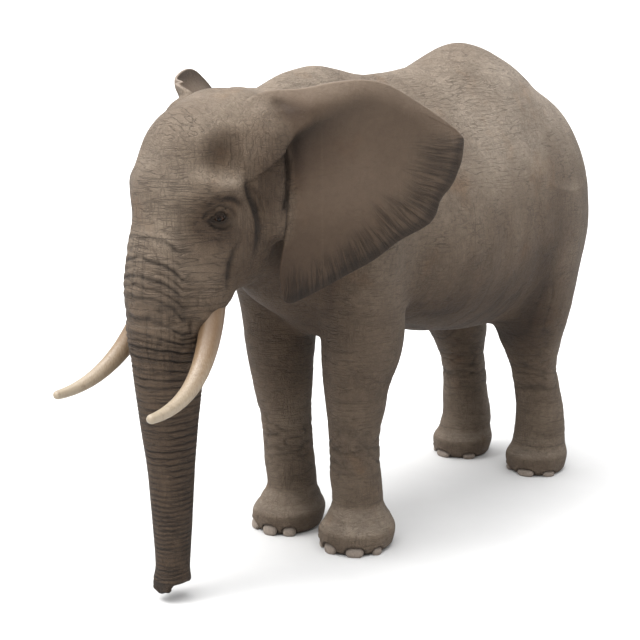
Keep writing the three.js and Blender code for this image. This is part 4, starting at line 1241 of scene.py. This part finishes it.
def hide_marks(p, rise):
    """Tone of the hide, with painted light on top and painted shade underneath, in hollows and along the
    creases of the head, the front of the trunk darker towards its tip, and which way its cracks run.

    They run across on the trunk and the legs, hang down behind the cheek and on the belly's sides,
    and cross the crown from side to side.
    """
    _, y, z = p.T
    # Painted light on surfaces that face up, painted shade on those that face down.
    painted_light_and_tone = 0.69 + 0.50 * smooth(-0.1, 0.85, rise) - 0.26 * smooth(0.0, -0.8, rise) * smooth(300, 900, z)
    for middle, radii, share in LIGHT_AND_SHADE_PATCHES:
        far = length((p - middle) / radii)
        painted_light_and_tone += share * bell(far, 1)
    # Painted shade and painted light along the lines of the head.
    near = (y < -820) & (z > 2000)
    for line, width, share in STROKES:
        d, along = distance_to_line(p[near], line)
        taper = np.sqrt(clamp01(5 * along * (1 - along)) + 0.03)
        painted_light_and_tone[near] *= 1 + share * taper * bell(d, width)
    front = smooth(-1180, -1300, y)
    low = profile([(500, 0.44), (1400, 0.60), (1800, 0.90), (2050, 1.06), (2300, 1.0)])(z)
    painted_light_and_tone *= lerp(1.0, low, front)
    legs = smooth(1200, 700, z) * (1 - front)
    painted_light_and_tone *= 1 + 0.10 * legs + 0.04 * smooth(460, 200, z) * legs
    ringed = np.maximum(smooth(-1100, -1260, y), 0.45 * legs)
    hanging = smooth(-1230, -1110, y) * smooth(-600, -800, y)
    hanging = np.maximum(hanging, 0.7 * smooth(2300, 1900, z) * smooth(250, 600, y) * smooth(1900, 1600, y))
    crown = smooth(0.2, 0.6, rise) * smooth(-620, -820, y)
    hanging = hanging * (1 - 0.8 * crown)
    ringed = np.maximum(ringed, 0.75 * crown)
    return {"painted_light_and_tone": np.maximum(painted_light_and_tone, DARKEST), "ringed": ringed, "hanging": hanging, "crown": crown}


def skin_material():
    """Hide: a net of fine cracks at three sizes, broken up, with painted light on top and painted shade in
    the creases.
    """
    s = Shader("hide")
    painted_shade, thin, pale = s.attribute("painted_shade"), s.attribute("thin"), s.attribute("pale")
    painted_light_and_tone, ringed, hanging = s.attribute("painted_light_and_tone"), s.attribute("ringed"), s.attribute("hanging")
    ray, fan, crown = s.attribute("ray"), s.attribute("fan"), s.attribute("crown")

    warp = s.add("ShaderNodeTexNoise", {"Vector": s.place, "Scale": 6.0, "Detail": 3.0}).outputs["Color"]
    bent = s.add("ShaderNodeVectorMath", {0: warp, "Scale": 0.03}, operation="SCALE").outputs[0]
    where = s.add("ShaderNodeVectorMath", {0: s.place, 1: bent}, operation="ADD").outputs[0]

    def placed(scale, turn=(0.0, 0.0, 0.0)):
        return s.add("ShaderNodeMapping", {"Vector": where, "Scale": scale, "Rotation": turn}).outputs[0]

    def lines(vector, width, detail=2.0):
        """Thin crooked lines: where smooth noise passes its middle."""
        value = s.noise(1.0, detail, vector)
        away = s.math("ABSOLUTE", s.math("SUBTRACT", value, 0.5))
        return s.ramp(away, 0.0, width, 1.0, 0.0)

    def share(low, high, value):
        return s.ramp(value, 0.0, 1.0, low, high)

    across = lines(placed((4.5, 4.5, 42.0)), 0.045, 1.0)
    over = lines(placed((4.5, 30.0, 30.0)), 0.040, 1.0)
    across = s.math("MULTIPLY", across, s.math("SUBTRACT", 1.0, crown))
    across = s.math("MAXIMUM", across, s.math("MULTIPLY", over, s.math("MULTIPLY", crown, 0.8)))
    upright = lines(placed((40.0, 40.0, 4.5)), 0.060, 1.0)
    slant = lines(placed((8.0, 8.0, 36.0), (0.8, 0.3, 0.0)), 0.040, 1.0)
    coarse = s.ramp(s.cells(24.0, placed((1.0, 1.0, 1.7), (0.5, 0.2, 0.3))), 0.0, 0.10, 1.0, 0.0)
    fine = s.ramp(s.cells(66.0, placed((1.0, 1.0, 1.9), (0.4, 0.1, 0.2))), 0.0, 0.17, 1.0, 0.0)
    broken = s.ramp(s.noise(5.0, 3.0, where), 0.40, 0.60)
    other = s.ramp(s.noise(4.0, 3.0, placed((1.0, 1.0, 1.0), (1.0, 2.0, 0.5))), 0.40, 0.60)
    grain = s.noise(210.0, 4.0, where)
    mottle = s.noise(30.0, 4.0, where)

    across = s.math("MULTIPLY", across, s.math("MAXIMUM", s.math("MULTIPLY", broken, 0.75), ringed))
    across = s.math("MULTIPLY", across, share(1.0, 0.25, hanging))
    where_upright = s.math("MAXIMUM", s.math("MULTIPLY", other, 0.6), share(0.0, 0.6, hanging))
    upright = s.math("MULTIPLY", upright, where_upright)
    slant = s.math("MULTIPLY", slant, s.math("SUBTRACT", 1.0, broken))
    slant = s.math("MULTIPLY", slant, share(0.9, 0.25, ringed))
    large = s.math("MAXIMUM", s.math("MAXIMUM", across, upright), slant)
    net = s.math("MAXIMUM", s.math("MULTIPLY", coarse, 0.45), s.math("MULTIPLY", fine, 0.40))
    groove = s.math("ADD", s.math("MULTIPLY", large, 0.9), s.math("MULTIPLY", net, 0.8))
    groove = s.math("MULTIPLY", groove, share(1.0, 0.22, thin))

    spokes = s.add("ShaderNodeCombineXYZ", {"X": s.math("MULTIPLY", ray, 46.0), "Y": 0.5}).outputs[0]
    crooked = {0: spokes, 1: placed((3.0, 3.0, 3.0))}
    spokes = s.add("ShaderNodeVectorMath", crooked, operation="ADD").outputs[0]
    spokes = s.math("MULTIPLY", lines(spokes, 0.09), fan)
    groove = s.math("ADD", groove, s.math("MULTIPLY", spokes, 0.9))
    height = s.math("SUBTRACT", s.math("MULTIPLY", grain, 0.2), groove)
    height = s.math("ADD", height, s.math("MULTIPLY", mottle, 0.7))
    normal = s.bump(height, 0.0080, 0.9)

    light, mid, dark = srgb(127, 113, 98), srgb(106, 92, 78), srgb(44, 34, 27)
    color = s.mix(s.ramp(s.noise(2.6, 4.0, where), 0.34, 0.66), mid, light)
    ginger = s.ramp(s.noise(3.7, 4.0, where), 0.58, 0.74, 0.0, 0.40)
    color = s.mix(ginger, color, srgb(120, 92, 66))
    color = s.mix(s.ramp(mottle, 0.36, 0.64, 0.26, 0.0), color, srgb(72, 60, 50))
    color = s.mix(s.math("MULTIPLY", thin, 0.60), color, srgb(88, 73, 60))
    color = s.mix(s.math("MULTIPLY", pale, 0.45), color, srgb(124, 110, 98))
    color = s.mix(s.math("MULTIPLY", groove, 0.52, True), color, dark)
    # Painted shade in the creases and hollows.
    color = s.mix(s.math("MULTIPLY", painted_shade, 0.86, True), color, srgb(30, 23, 18))
    # Painted light and shade, with the hide's own tone, multiply the colour, warmer where it is darker.
    deep = s.math("POWER", painted_light_and_tone, 1.25)
    warm, level = s.math("POWER", painted_light_and_tone, 0.9), s.math("POWER", painted_light_and_tone, 1.07)
    shade = s.add("ShaderNodeCombineColor", {0: warm, 1: level, 2: deep}).outputs[0]
    color = s.mix(1.0, color, shade, "MULTIPLY")
    rough = s.ramp(grain, 0.3, 0.7, 0.62, 0.82)
    return s.finish(color, rough, normal, Specular_IOR_Level=0.30)


def ivory_material():
    s = Shader("ivory")
    along = s.attribute("along")
    grain = s.noise(5.0, 5.0, s.stretched((26, 26, 5)), 0.6)
    stain = s.math("ADD", s.ramp(along, 0.30, 0.85, 0.9, 0.0), s.ramp(grain, 0.3, 0.75, -0.35, 0.35), True)
    color = s.mix(stain, srgb(150, 137, 118), srgb(118, 95, 70))
    spots = s.ramp(s.noise(24.0, 3.0), 0.58, 0.72, 0.0, 0.45)
    color = s.mix(spots, color, srgb(106, 86, 67))
    root = s.ramp(along, 0.16, 0.40, 0.75, 0.0)
    color = s.mix(root, color, srgb(96, 74, 53))
    normal = s.bump(grain, 0.0016, 0.6)
    return s.finish(color, s.ramp(grain, 0.3, 0.7, 0.34, 0.52), normal, Coat_Weight=0.05)


def nail_material():
    s = Shader("nail")
    grain = s.noise(6.0, 4.0, s.stretched((40, 40, 9)))
    color = s.mix(s.ramp(grain, 0.3, 0.7), srgb(112, 100, 90), srgb(140, 128, 117))
    color = s.mix(s.ramp(s.noise(30.0, 3.0), 0.55, 0.75, 0.0, 0.6), color, srgb(88, 76, 66))
    return s.finish(color, 0.5, s.bump(grain, 0.0025, 0.7))


def eye_material():
    s = Shader("eyeball")
    front = s.attribute("front")
    fibres = s.noise(70.0, 4.0)
    iris = s.mix(s.ramp(fibres, 0.3, 0.7), srgb(30, 19, 11), srgb(66, 41, 22))
    white = s.mix(s.ramp(s.noise(40.0), 0.3, 0.8), srgb(44, 32, 27), srgb(66, 49, 41))
    color = s.mix(s.ramp(front, 0.70, 0.76), white, iris)
    color = s.mix(s.ramp(front, 0.915, 0.93), color, srgb(4, 3, 3))
    return s.finish(color, 0.2, None, Specular_IOR_Level=0.12, Coat_Weight=0.08, Coat_Roughness=0.03)


def hair_material():
    s = Shader("hair")
    streaks = s.noise(8.0, 3.0, s.stretched((60, 60, 6)))
    color = s.mix(s.ramp(streaks, 0.3, 0.7), srgb(26, 22, 20), srgb(58, 48, 41))
    return s.finish(color, 0.5, s.bump(streaks, 0.0006, 0.5))


def floor_material():
    s = Shader("floor")
    color = s.mix(s.ramp(s.noise(2.0), 0.3, 0.7), srgb(203, 203, 203), srgb(206, 206, 206))
    return s.finish(color, 0.95, None, Specular_IOR_Level=0.1)


# ---- the pieces ------------------------------------------------------------------------------------
def ring_faces(rings, sides, start=0):
    """Quads between rings of points, each ring after the one before."""
    faces = []
    for i in range(rings):
        a = start + i * sides
        for j in range(sides):
            k = (j + 1) % sides
            faces.append((a + j, a + sides + j, a + sides + k, a + k))
    return faces


def closed_up(mesh, turn_out=True):
    """Joins the points of each pole, and turns all faces outwards."""
    bm = bmesh.new()
    bm.from_mesh(mesh)
    bmesh.ops.remove_doubles(bm, verts=bm.verts, dist=1e-6)
    if turn_out:
        bmesh.ops.recalc_face_normals(bm, faces=bm.faces)
    bm.to_mesh(mesh)
    bm.free()


def dressed(thing, material, replaced=()):
    thing.data.materials.clear()
    thing.data.materials.append(material)
    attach(thing, BODY)
    if replaced:
        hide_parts(*replaced)
    return thing


def set_attribute(mesh, name, values):
    attribute = mesh.attributes.new(name, "FLOAT", "POINT")
    attribute.data.foreach_set("value", np.ascontiguousarray(values, np.float32))


def ear_tone_and_shade(p, share):
    """Ears are darker than the body, more so low down, with painted shade under their upper fold, in the
    notch at their top and beside their opening.
    """
    u, _, z = ear_space(p)
    under = bell(u - 130, 230) * bell(z - 2570, 180)
    notch = bell(u - 30, 110) * bell(z - 2800, 55) * smooth(-140, -60, u)
    top = smooth(2800, 2900, z + 0.1 * u)
    slot = bell(u - 20, 75) * bell(z - 2500, 150)
    low = smooth(2330, 1950, z)
    return 1 - share * (0.14 - 0.14 * top + 0.42 * under + 0.42 * slot + 0.24 * low) - 0.45 * notch


def raise_right_ear(p, share):
    """The top of the right ear isn't rolled like the left one's: it stands up and tilts outwards."""
    u, _, z = ear_space(folded(p))
    edge = ear_edge(u, z)
    right = share * (p[:, 0] < 0)
    on_top = smooth(2520, 2680, z + 0.06 * u) * smooth(1120, 980, u)
    roll = lerp(44, 30, smooth(450, 1050, u)) * clamp01(1 + edge / 120) ** 2
    lean = 56 * smooth(2650, 2880, z) * (1 - smooth(-105, 190, u))
    dip = 62 * bell(z - 2785, 70) * smooth(-120, 0, u) * smooth(900, 500, u)
    move = (((roll + lean) * on_top - dip) * right)[:, None] * EAR_FORE * [-1, 1, 1]
    move[:, 2] += 16 * smooth(2560, 2860, z) * on_top * right
    return p + move


def build_skin():
    mesh = skin_mesh()
    p = drawn_to_form(to_animal(mesh_points(mesh)), 2)
    _, slope = value_and_slope(p)
    normal = slope / np.maximum(length(slope), 1e-6)[:, None]
    q = folded(p)
    free = ear_share(q)
    on_head = 1 - free

    ring_move, ring_shade = ring_relief(q)
    leg_move, leg_shade = leg_relief(q)
    foot_move, foot_shade = foot_relief(q)
    slack_move, slack_shade = body_relief(p)
    folds = fold_depth(q)
    ear_move, ear_shade_and_dark_rim, ear_marks = ear_relief(q, free)
    near_ear = smooth(120, 20, np.abs(ear(q))) * smooth(60, 130, q[:, 0] - 200)
    sole = smooth(4, 40, q[:, 2])
    move = (ring_move + leg_move + slack_move * (1 - 0.6 * near_ear) - folds) * on_head + foot_move
    p = p + normal * (move * sole)[:, None]
    forward = np.tile(EAR_FORE, (len(p), 1))
    forward[:, 0] *= np.where(p[:, 0] < 0, -1, 1)
    on_ear = np.maximum(near_ear, free)
    p = p + forward * (ear_move * on_ear)[:, None]
    p = raise_right_ear(p, free)
    p, eye_shade = with_lids(p)
    p[:, 2] = np.where(p[:, 2] < 0.6, 0.0, p[:, 2])
    set_points(mesh, to_world(p))

    # Painted shade in the creases of the trunk's rings, the legs and the feet, in the folds of the flank
    # and the head, on the ears and round the eyes.
    painted_shade = ring_shade * 0.95 + leg_shade * 0.65 + foot_shade * 0.8 + slack_shade + clamp01(folds / 11) * 0.8
    painted_shade = painted_shade * on_head + ear_shade_and_dark_rim * on_ear * 0.8 + eye_shade * 0.8
    marks = {"painted_shade": clamp01(painted_shade), "thin": free, **ear_marks, **hide_marks(q, normal[:, 2])}
    # Painted light on the top of the right ear, whose back faces away from the light.
    right_top_painted_light = free * (p[:, 0] < 0) * smooth(2720, 2800, q[:, 2])
    marks["painted_light_and_tone"] *= ear_tone_and_shade(q, free)
    marks["painted_light_and_tone"] *= 1 + 0.45 * right_top_painted_light
    for name, values in marks.items():
        set_attribute(mesh, name, values)
    mesh.polygons.foreach_set("use_smooth", [True] * len(mesh.polygons))
    skin = new_object("skin", mesh)
    return dressed(skin, skin_material(), FLESH + EARS)


def build_eyes(material):
    rings, sides = 24, 36
    points, front = [], []
    for i in range(rings + 1):
        tilt = math.pi * i / rings
        for j in range(sides):
            turn = 2 * math.pi * j / sides
            radius = EYE_RADIUS * (1 + 0.06 * math.exp(-(tilt / 0.42) ** 2))
            out = radius * math.sin(tilt)
            points.append((out * math.cos(turn), out * math.sin(turn), radius * math.cos(tilt)))
            front.append(math.cos(tilt))
    faces = ring_faces(rings, sides)
    local = np.array(points)
    gaze = unit(EYE_OUT + 0.25 * EYE_FORE - 0.12 * EYE_UP)
    side = unit(np.cross([0, 0, 1], gaze))
    up = np.cross(gaze, side)
    placed = EYE_CENTRE + local[:, :1] * side + local[:, 1:2] * up + local[:, 2:] * gaze
    for name, mirror in (("eye_left", 1), ("eye_right", -1)):
        turned = faces if mirror > 0 else [f[::-1] for f in faces]
        mesh = mesh_of(name + "_ball", to_world(placed * [mirror, 1, 1]), turned)
        set_attribute(mesh, "front", front)
        closed_up(mesh, False)
        dressed(new_object(name + "_ball", mesh), material, [name])


TUSK_BEND = [(236, -1222, 1760), (320, -1338, 1430), (366, -1556, 1246), (373, -1868, 1254)]
TUSK_ROOT, TUSK_TIP = 72.0, 25.0


def build_tusks(material):
    steps, sides = 110, 40
    t = np.linspace(0, 1, steps)
    line = bezier(TUSK_BEND, t)
    ahead = np.gradient(line, axis=0)
    ahead /= length(ahead)[:, None]
    side = np.cross(ahead, [1.0, 0.0, 0.0])
    side /= length(side)[:, None]
    across = np.cross(side, ahead)
    radius = lerp(TUSK_ROOT, TUSK_TIP, t ** 1.1)
    run = np.concatenate(([0], np.cumsum(length(np.diff(line, axis=0)))))
    left = run[-1] - run
    cap = 30.0
    radius = radius * np.sqrt(np.clip(1 - np.clip(1 - left / cap, 0, 1) ** 2, 0, 1))
    points = []
    for i in range(steps):
        for j in range(sides):
            turn = 2 * math.pi * j / sides
            wear = 1 + 0.012 * math.sin(3 * turn + 5 * t[i]) + 0.008 * math.sin(7 * turn - 9 * t[i])
            out = math.cos(turn) * across[i] + math.sin(turn) * side[i]
            points.append(line[i] + radius[i] * wear * out)
    faces = ring_faces(steps - 1, sides)
    faces.append(tuple(range(sides)))
    points = np.array(points)
    for name, mirror in (("tusk_left", 1), ("tusk_right", -1)):
        turned = faces if mirror < 0 else [f[::-1] for f in faces]
        mesh = mesh_of(name + "_ivory", to_world(points * [mirror, 1, 1]), turned)
        set_attribute(mesh, "along", np.repeat(t, sides))
        closed_up(mesh)
        dressed(new_object(name + "_ivory", mesh), material, [name])


def build_nails(material):
    rings, sides = 14, 28
    for kind in NAILS:
        for side_name, mirror in (("left", 1), ("right", -1)):
            points, faces = [], []
            for middle, outward, sideways, size in nail_places(kind):
                start = len(points)
                for i in range(rings + 1):
                    tilt = math.pi * i / rings
                    for j in range(sides):
                        turn = 2 * math.pi * j / sides
                        a = math.sin(tilt) * math.cos(turn)
                        b = math.sin(tilt) * math.sin(turn)
                        c = math.cos(tilt)
                        a = math.copysign(abs(a) ** 0.85, a)
                        c = math.copysign(abs(c) ** 0.9, c)
                        lean = 0.30 * (0.4 - c) * size[1]
                        spot = (middle + sideways * a * size[0] * 0.95 + outward * (b * size[1] + lean)
                                + np.array([0, 0, c * size[2] * 0.86]))
                        spot[2] = max(spot[2], 1.0)
                        points.append(spot)
                faces += ring_faces(rings, sides, start)
            name = f"nails_{kind}_{side_name}"
            mesh = mesh_of(name, to_world(np.array(points) * [mirror, 1, 1]), faces)
            closed_up(mesh)
            dressed(new_object(name, mesh), material)


# ---- hair ------------------------------------------------------------------------------------------
def hair_piece(name, strands, material, replaced=()):
    """Each strand is (points, widths, flatness direction): a closed four-sided blade."""
    points, faces, homes = [], [], []
    for line, wide, face_way, home in strands:
        line = np.asarray(line, float)
        ahead = np.gradient(line, axis=0)
        ahead /= length(ahead)[:, None]
        side = np.cross(ahead, face_way)
        side /= np.maximum(length(side), 1e-6)[:, None]
        up = np.cross(side, ahead)
        start = len(points)
        for i in range(len(line)):
            for a, b in ((1, 0), (0, 0.45), (-1, 0), (0, -0.45)):
                points.append(line[i] + wide[i] * (a * side[i] + b * up[i]))
                homes.append((home, a, b, i / (len(line) - 1)))
        for i in range(len(line) - 1):
            for j in range(4):
                k = (j + 1) % 4
                a = start + i * 4
                faces.append((a + j, a + k, a + 4 + k, a + 4 + j))
        end = start + (len(line) - 1) * 4
        faces.append((start + 3, start + 2, start + 1, start))
        faces.append((end, end + 1, end + 2, end + 3))
    mesh = mesh_of(name, to_world(points), faces)
    layer = mesh.uv_layers.new(name="OFBake")
    corners = np.empty(len(mesh.loops), np.int32)
    mesh.loops.foreach_get("vertex_index", corners)
    uv = np.array([(h[0][0] + 0.0012 * h[1], h[0][1] + 0.003 * h[3] + 0.0006 * h[2]) for h in homes])
    layer.data.foreach_set("uv", np.clip(uv[corners], 0, 1).astype(np.float32).ravel())
    return dressed(new_object(name, mesh), material, replaced)


def home_of(p):
    """The place of a root on an unwrap of the skin's own shape: girth across, length along."""
    girth = math.atan2(p[0], p[2] - 1700) / (2 * math.pi) + 0.5
    return (0.02 + 0.95 * girth, 0.02 + 0.95 * (p[1] + 1900) / 4500)


TUFT_HAIRS = 420
LASHES = 38                              # on each eye


def build_tuft(material):
    strands = []
    for _ in range(TUFT_HAIRS):
        t = 0.80 + 0.20 * RNG.random() ** 0.7
        root = bezier(TAIL_BEND, [t])[0]
        turn = RNG.random() * 2 * math.pi
        reach = 330 * (0.55 + 0.5 * RNG.random()) * (0.75 + 0.25 * (t - 0.8) / 0.2)
        out = np.array([0.35 * math.cos(turn), math.sin(turn), 0.0])
        root = root + out * 12
        spread = 16 + 34 * RNG.random()
        end = root + out * spread + [RNG.normal(0, 8), RNG.normal(0, 14), -reach]
        middle = root + out * spread * 1.1 + [0, 0, -reach * 0.45]
        steps = np.linspace(0, 1, 7)
        line = bezier([root, middle, end], steps)
        wide = 2.1 * (1 - 0.8 * steps ** 1.5)
        strands.append((line, wide, np.array([math.cos(turn), math.sin(turn), 0.2]), home_of(root)))
    hair_piece("tail_hair", strands, material, ["tail_tuft"])


def build_lashes(material):
    strands = []
    for mirror in (1, -1):
        for i in range(LASHES):
            a = lerp(28, -28, (i + 0.5 * RNG.random()) / LASHES)
            t = a / LID_REACH
            b = LID_TOP * (1 - t * t) ** 0.75 - 3.5 * t + 2.0
            r = min(math.hypot(a, b), EYE_RADIUS + 6)
            c = math.sqrt(max((EYE_RADIUS + 7) ** 2 - r * r, 0))
            root = EYE_CENTRE + a * EYE_FORE + b * EYE_UP + (c - 1) * EYE_OUT
            reach = 26 + 10 * RNG.random()
            way = unit(EYE_OUT * 0.9 + EYE_UP * -0.25 + EYE_FORE * (0.012 * a + RNG.normal(0, 0.07)))
            middle = root + way * reach * 0.6
            end = root + way * reach - EYE_UP * 9
            steps = np.linspace(0, 1, 5)
            line = bezier([root, middle, end], steps) * [mirror, 1, 1]
            strands.append((line, 0.55 * (1 - 0.75 * steps), EYE_UP, home_of(line[0])))
    hair_piece("lashes", strands, material)


def build_bristles(skin, material):
    """A few stiff hairs on the crown, the back and the chin, rooted in the skin."""
    mesh = skin.data
    p = to_animal(mesh_points(mesh))
    flat = np.empty(len(mesh.vertices) * 3, np.float32)
    mesh.vertex_normals.foreach_get("vector", flat)
    normal = flat.reshape(-1, 3).astype(float)
    x, y, z = p.T
    crown = (z > 2700) & (y < -500) & (np.abs(x) < 240)
    chin = (z < 1900) & (y < -900) & (y > -1180) & (np.abs(x) < 170) & (normal[:, 2] < -0.2)
    trunk_front = (z < 2000) & (z > 300) & (y < -1350) & (np.abs(x) < 200)
    back = (z > 2850) & (y > -300) & (y < 1900)
    strands = []
    for zone, count, low, high in ((crown, 70, 18, 40), (chin, 50, 20, 45), (trunk_front, 60, 8, 16),
                                   (back, 60, 12, 28)):
        spots = np.flatnonzero(zone)
        if not len(spots):
            continue
        for v in RNG.choice(spots, count):
            reach = lerp(low, high, RNG.random())
            way = unit(normal[v] + RNG.normal(0, 0.25, 3) + [0, 0.35, -0.1])
            root = p[v] - normal[v] * 3
            steps = np.linspace(0, 1, 4)
            line = bezier([root, root + way * reach * 0.6, root + way * reach + [0, 6, -4]], steps)
            strands.append((line, 0.5 * (1 - 0.8 * steps), np.array([0.3, 1.0, 0.2]), home_of(root)))
    hair_piece("bristles", strands, material)


# ---- stage, light and camera -----------------------------------------------------------------------
FLOOR_REACH = 1500.0                     # so far that its edge lies at the horizon, m
SKY_WAY = unit([-0.10, -0.30, 0.95])     # where the soft box of light stands
SKY_FOCUS, SKY_STRENGTH = 4.0, 6.3
FILL = 0.20                              # light from everywhere
WALL_WAY = unit([-0.22, 0.97, 0.0])      # towards the bright walls behind the animal
WALL_STRENGTH = 0.95
SUN_WAY = (-0.25, -0.45, 0.86)
SUN_STRENGTH, SUN_SPREAD = 1.2, math.radians(18)


def build_stage():
    r = FLOOR_REACH
    mesh = mesh_of("floor", [(-r, -r, 0), (r, -r, 0), (r, r, 0), (-r, r, 0)], [(0, 1, 2, 3)])
    floor = new_object("floor", mesh)
    mesh.materials.append(floor_material())


def build_light():
    """A white room, bright overhead and behind the animal, with a weak sun in it."""
    world = bpy.data.worlds.new("studio")
    bpy.context.scene.world = world
    world.use_nodes = True
    tree = world.node_tree
    background = tree.nodes["Background"]
    background.inputs["Color"].default_value = (1.0, 1.0, 1.0, 1.0)
    place = tree.nodes.new("ShaderNodeTexCoord").outputs["Generated"]

    def towards(way, steps):
        """How far a ray points one way, put through steps of arithmetic."""
        facing = tree.nodes.new("ShaderNodeVectorMath")
        facing.operation = "DOT_PRODUCT"
        facing.inputs[1].default_value = tuple(way)
        tree.links.new(place, facing.inputs[0])
        last = facing.outputs["Value"]
        for operation, amount in steps:
            node = tree.nodes.new("ShaderNodeMath")
            node.operation = operation
            tree.links.new(last, node.inputs[0])
            node.inputs[1].default_value = amount
            last = node.outputs[0]
        return last

    box = towards(SKY_WAY, (
        ("MAXIMUM", 0.0), ("POWER", SKY_FOCUS), ("MULTIPLY", SKY_STRENGTH), ("ADD", FILL),
    ))
    walls = towards(WALL_WAY, (
        ("ADD", 1.0), ("MULTIPLY", 0.5), ("POWER", 2.0), ("MULTIPLY", WALL_STRENGTH),
    ))
    both = tree.nodes.new("ShaderNodeMath")
    both.operation = "ADD"
    tree.links.new(box, both.inputs[0])
    tree.links.new(walls, both.inputs[1])
    tree.links.new(both.outputs[0], background.inputs["Strength"])

    data = bpy.data.lights.new("sun", "SUN")
    data.energy = SUN_STRENGTH
    data.angle = SUN_SPREAD
    data.color = (1.0, 0.98, 0.95)
    lamp = new_object("sun", data)
    lamp.rotation_euler = Vector(SUN_WAY).to_track_quat("Z", "Y").to_euler()


CAMERA_BEARING = math.radians(39.94)
CAMERA_RISE = math.radians(12.46)
CAMERA_REACH = 9.346
CAMERA_TARGET = (0.076, -0.111 + SHIFT[1] / 1000, 1.45)


def build_camera():
    data = bpy.data.cameras.new("camera")
    data.lens = 85
    data.sensor_width = 36
    data.clip_end = 2 * FLOOR_REACH
    camera = new_object("camera", data)
    back = Vector((
        math.sin(CAMERA_BEARING) * math.cos(CAMERA_RISE),
        -math.cos(CAMERA_BEARING) * math.cos(CAMERA_RISE),
        math.sin(CAMERA_RISE),
    ))
    camera.location = Vector(CAMERA_TARGET) + CAMERA_REACH * back
    camera.rotation_euler = back.to_track_quat("Z", "Y").to_euler()
    bpy.context.scene.camera = camera


build_camera()
build_light()
build_stage()
skin = build_skin()
HAIR = hair_material()
build_eyes(eye_material())
build_tusks(ivory_material())
build_nails(nail_material())
build_tuft(HAIR)
build_lashes(HAIR)
build_bristles(skin, HAIR)
bpy.context.scene.view_settings.view_transform = "Standard"
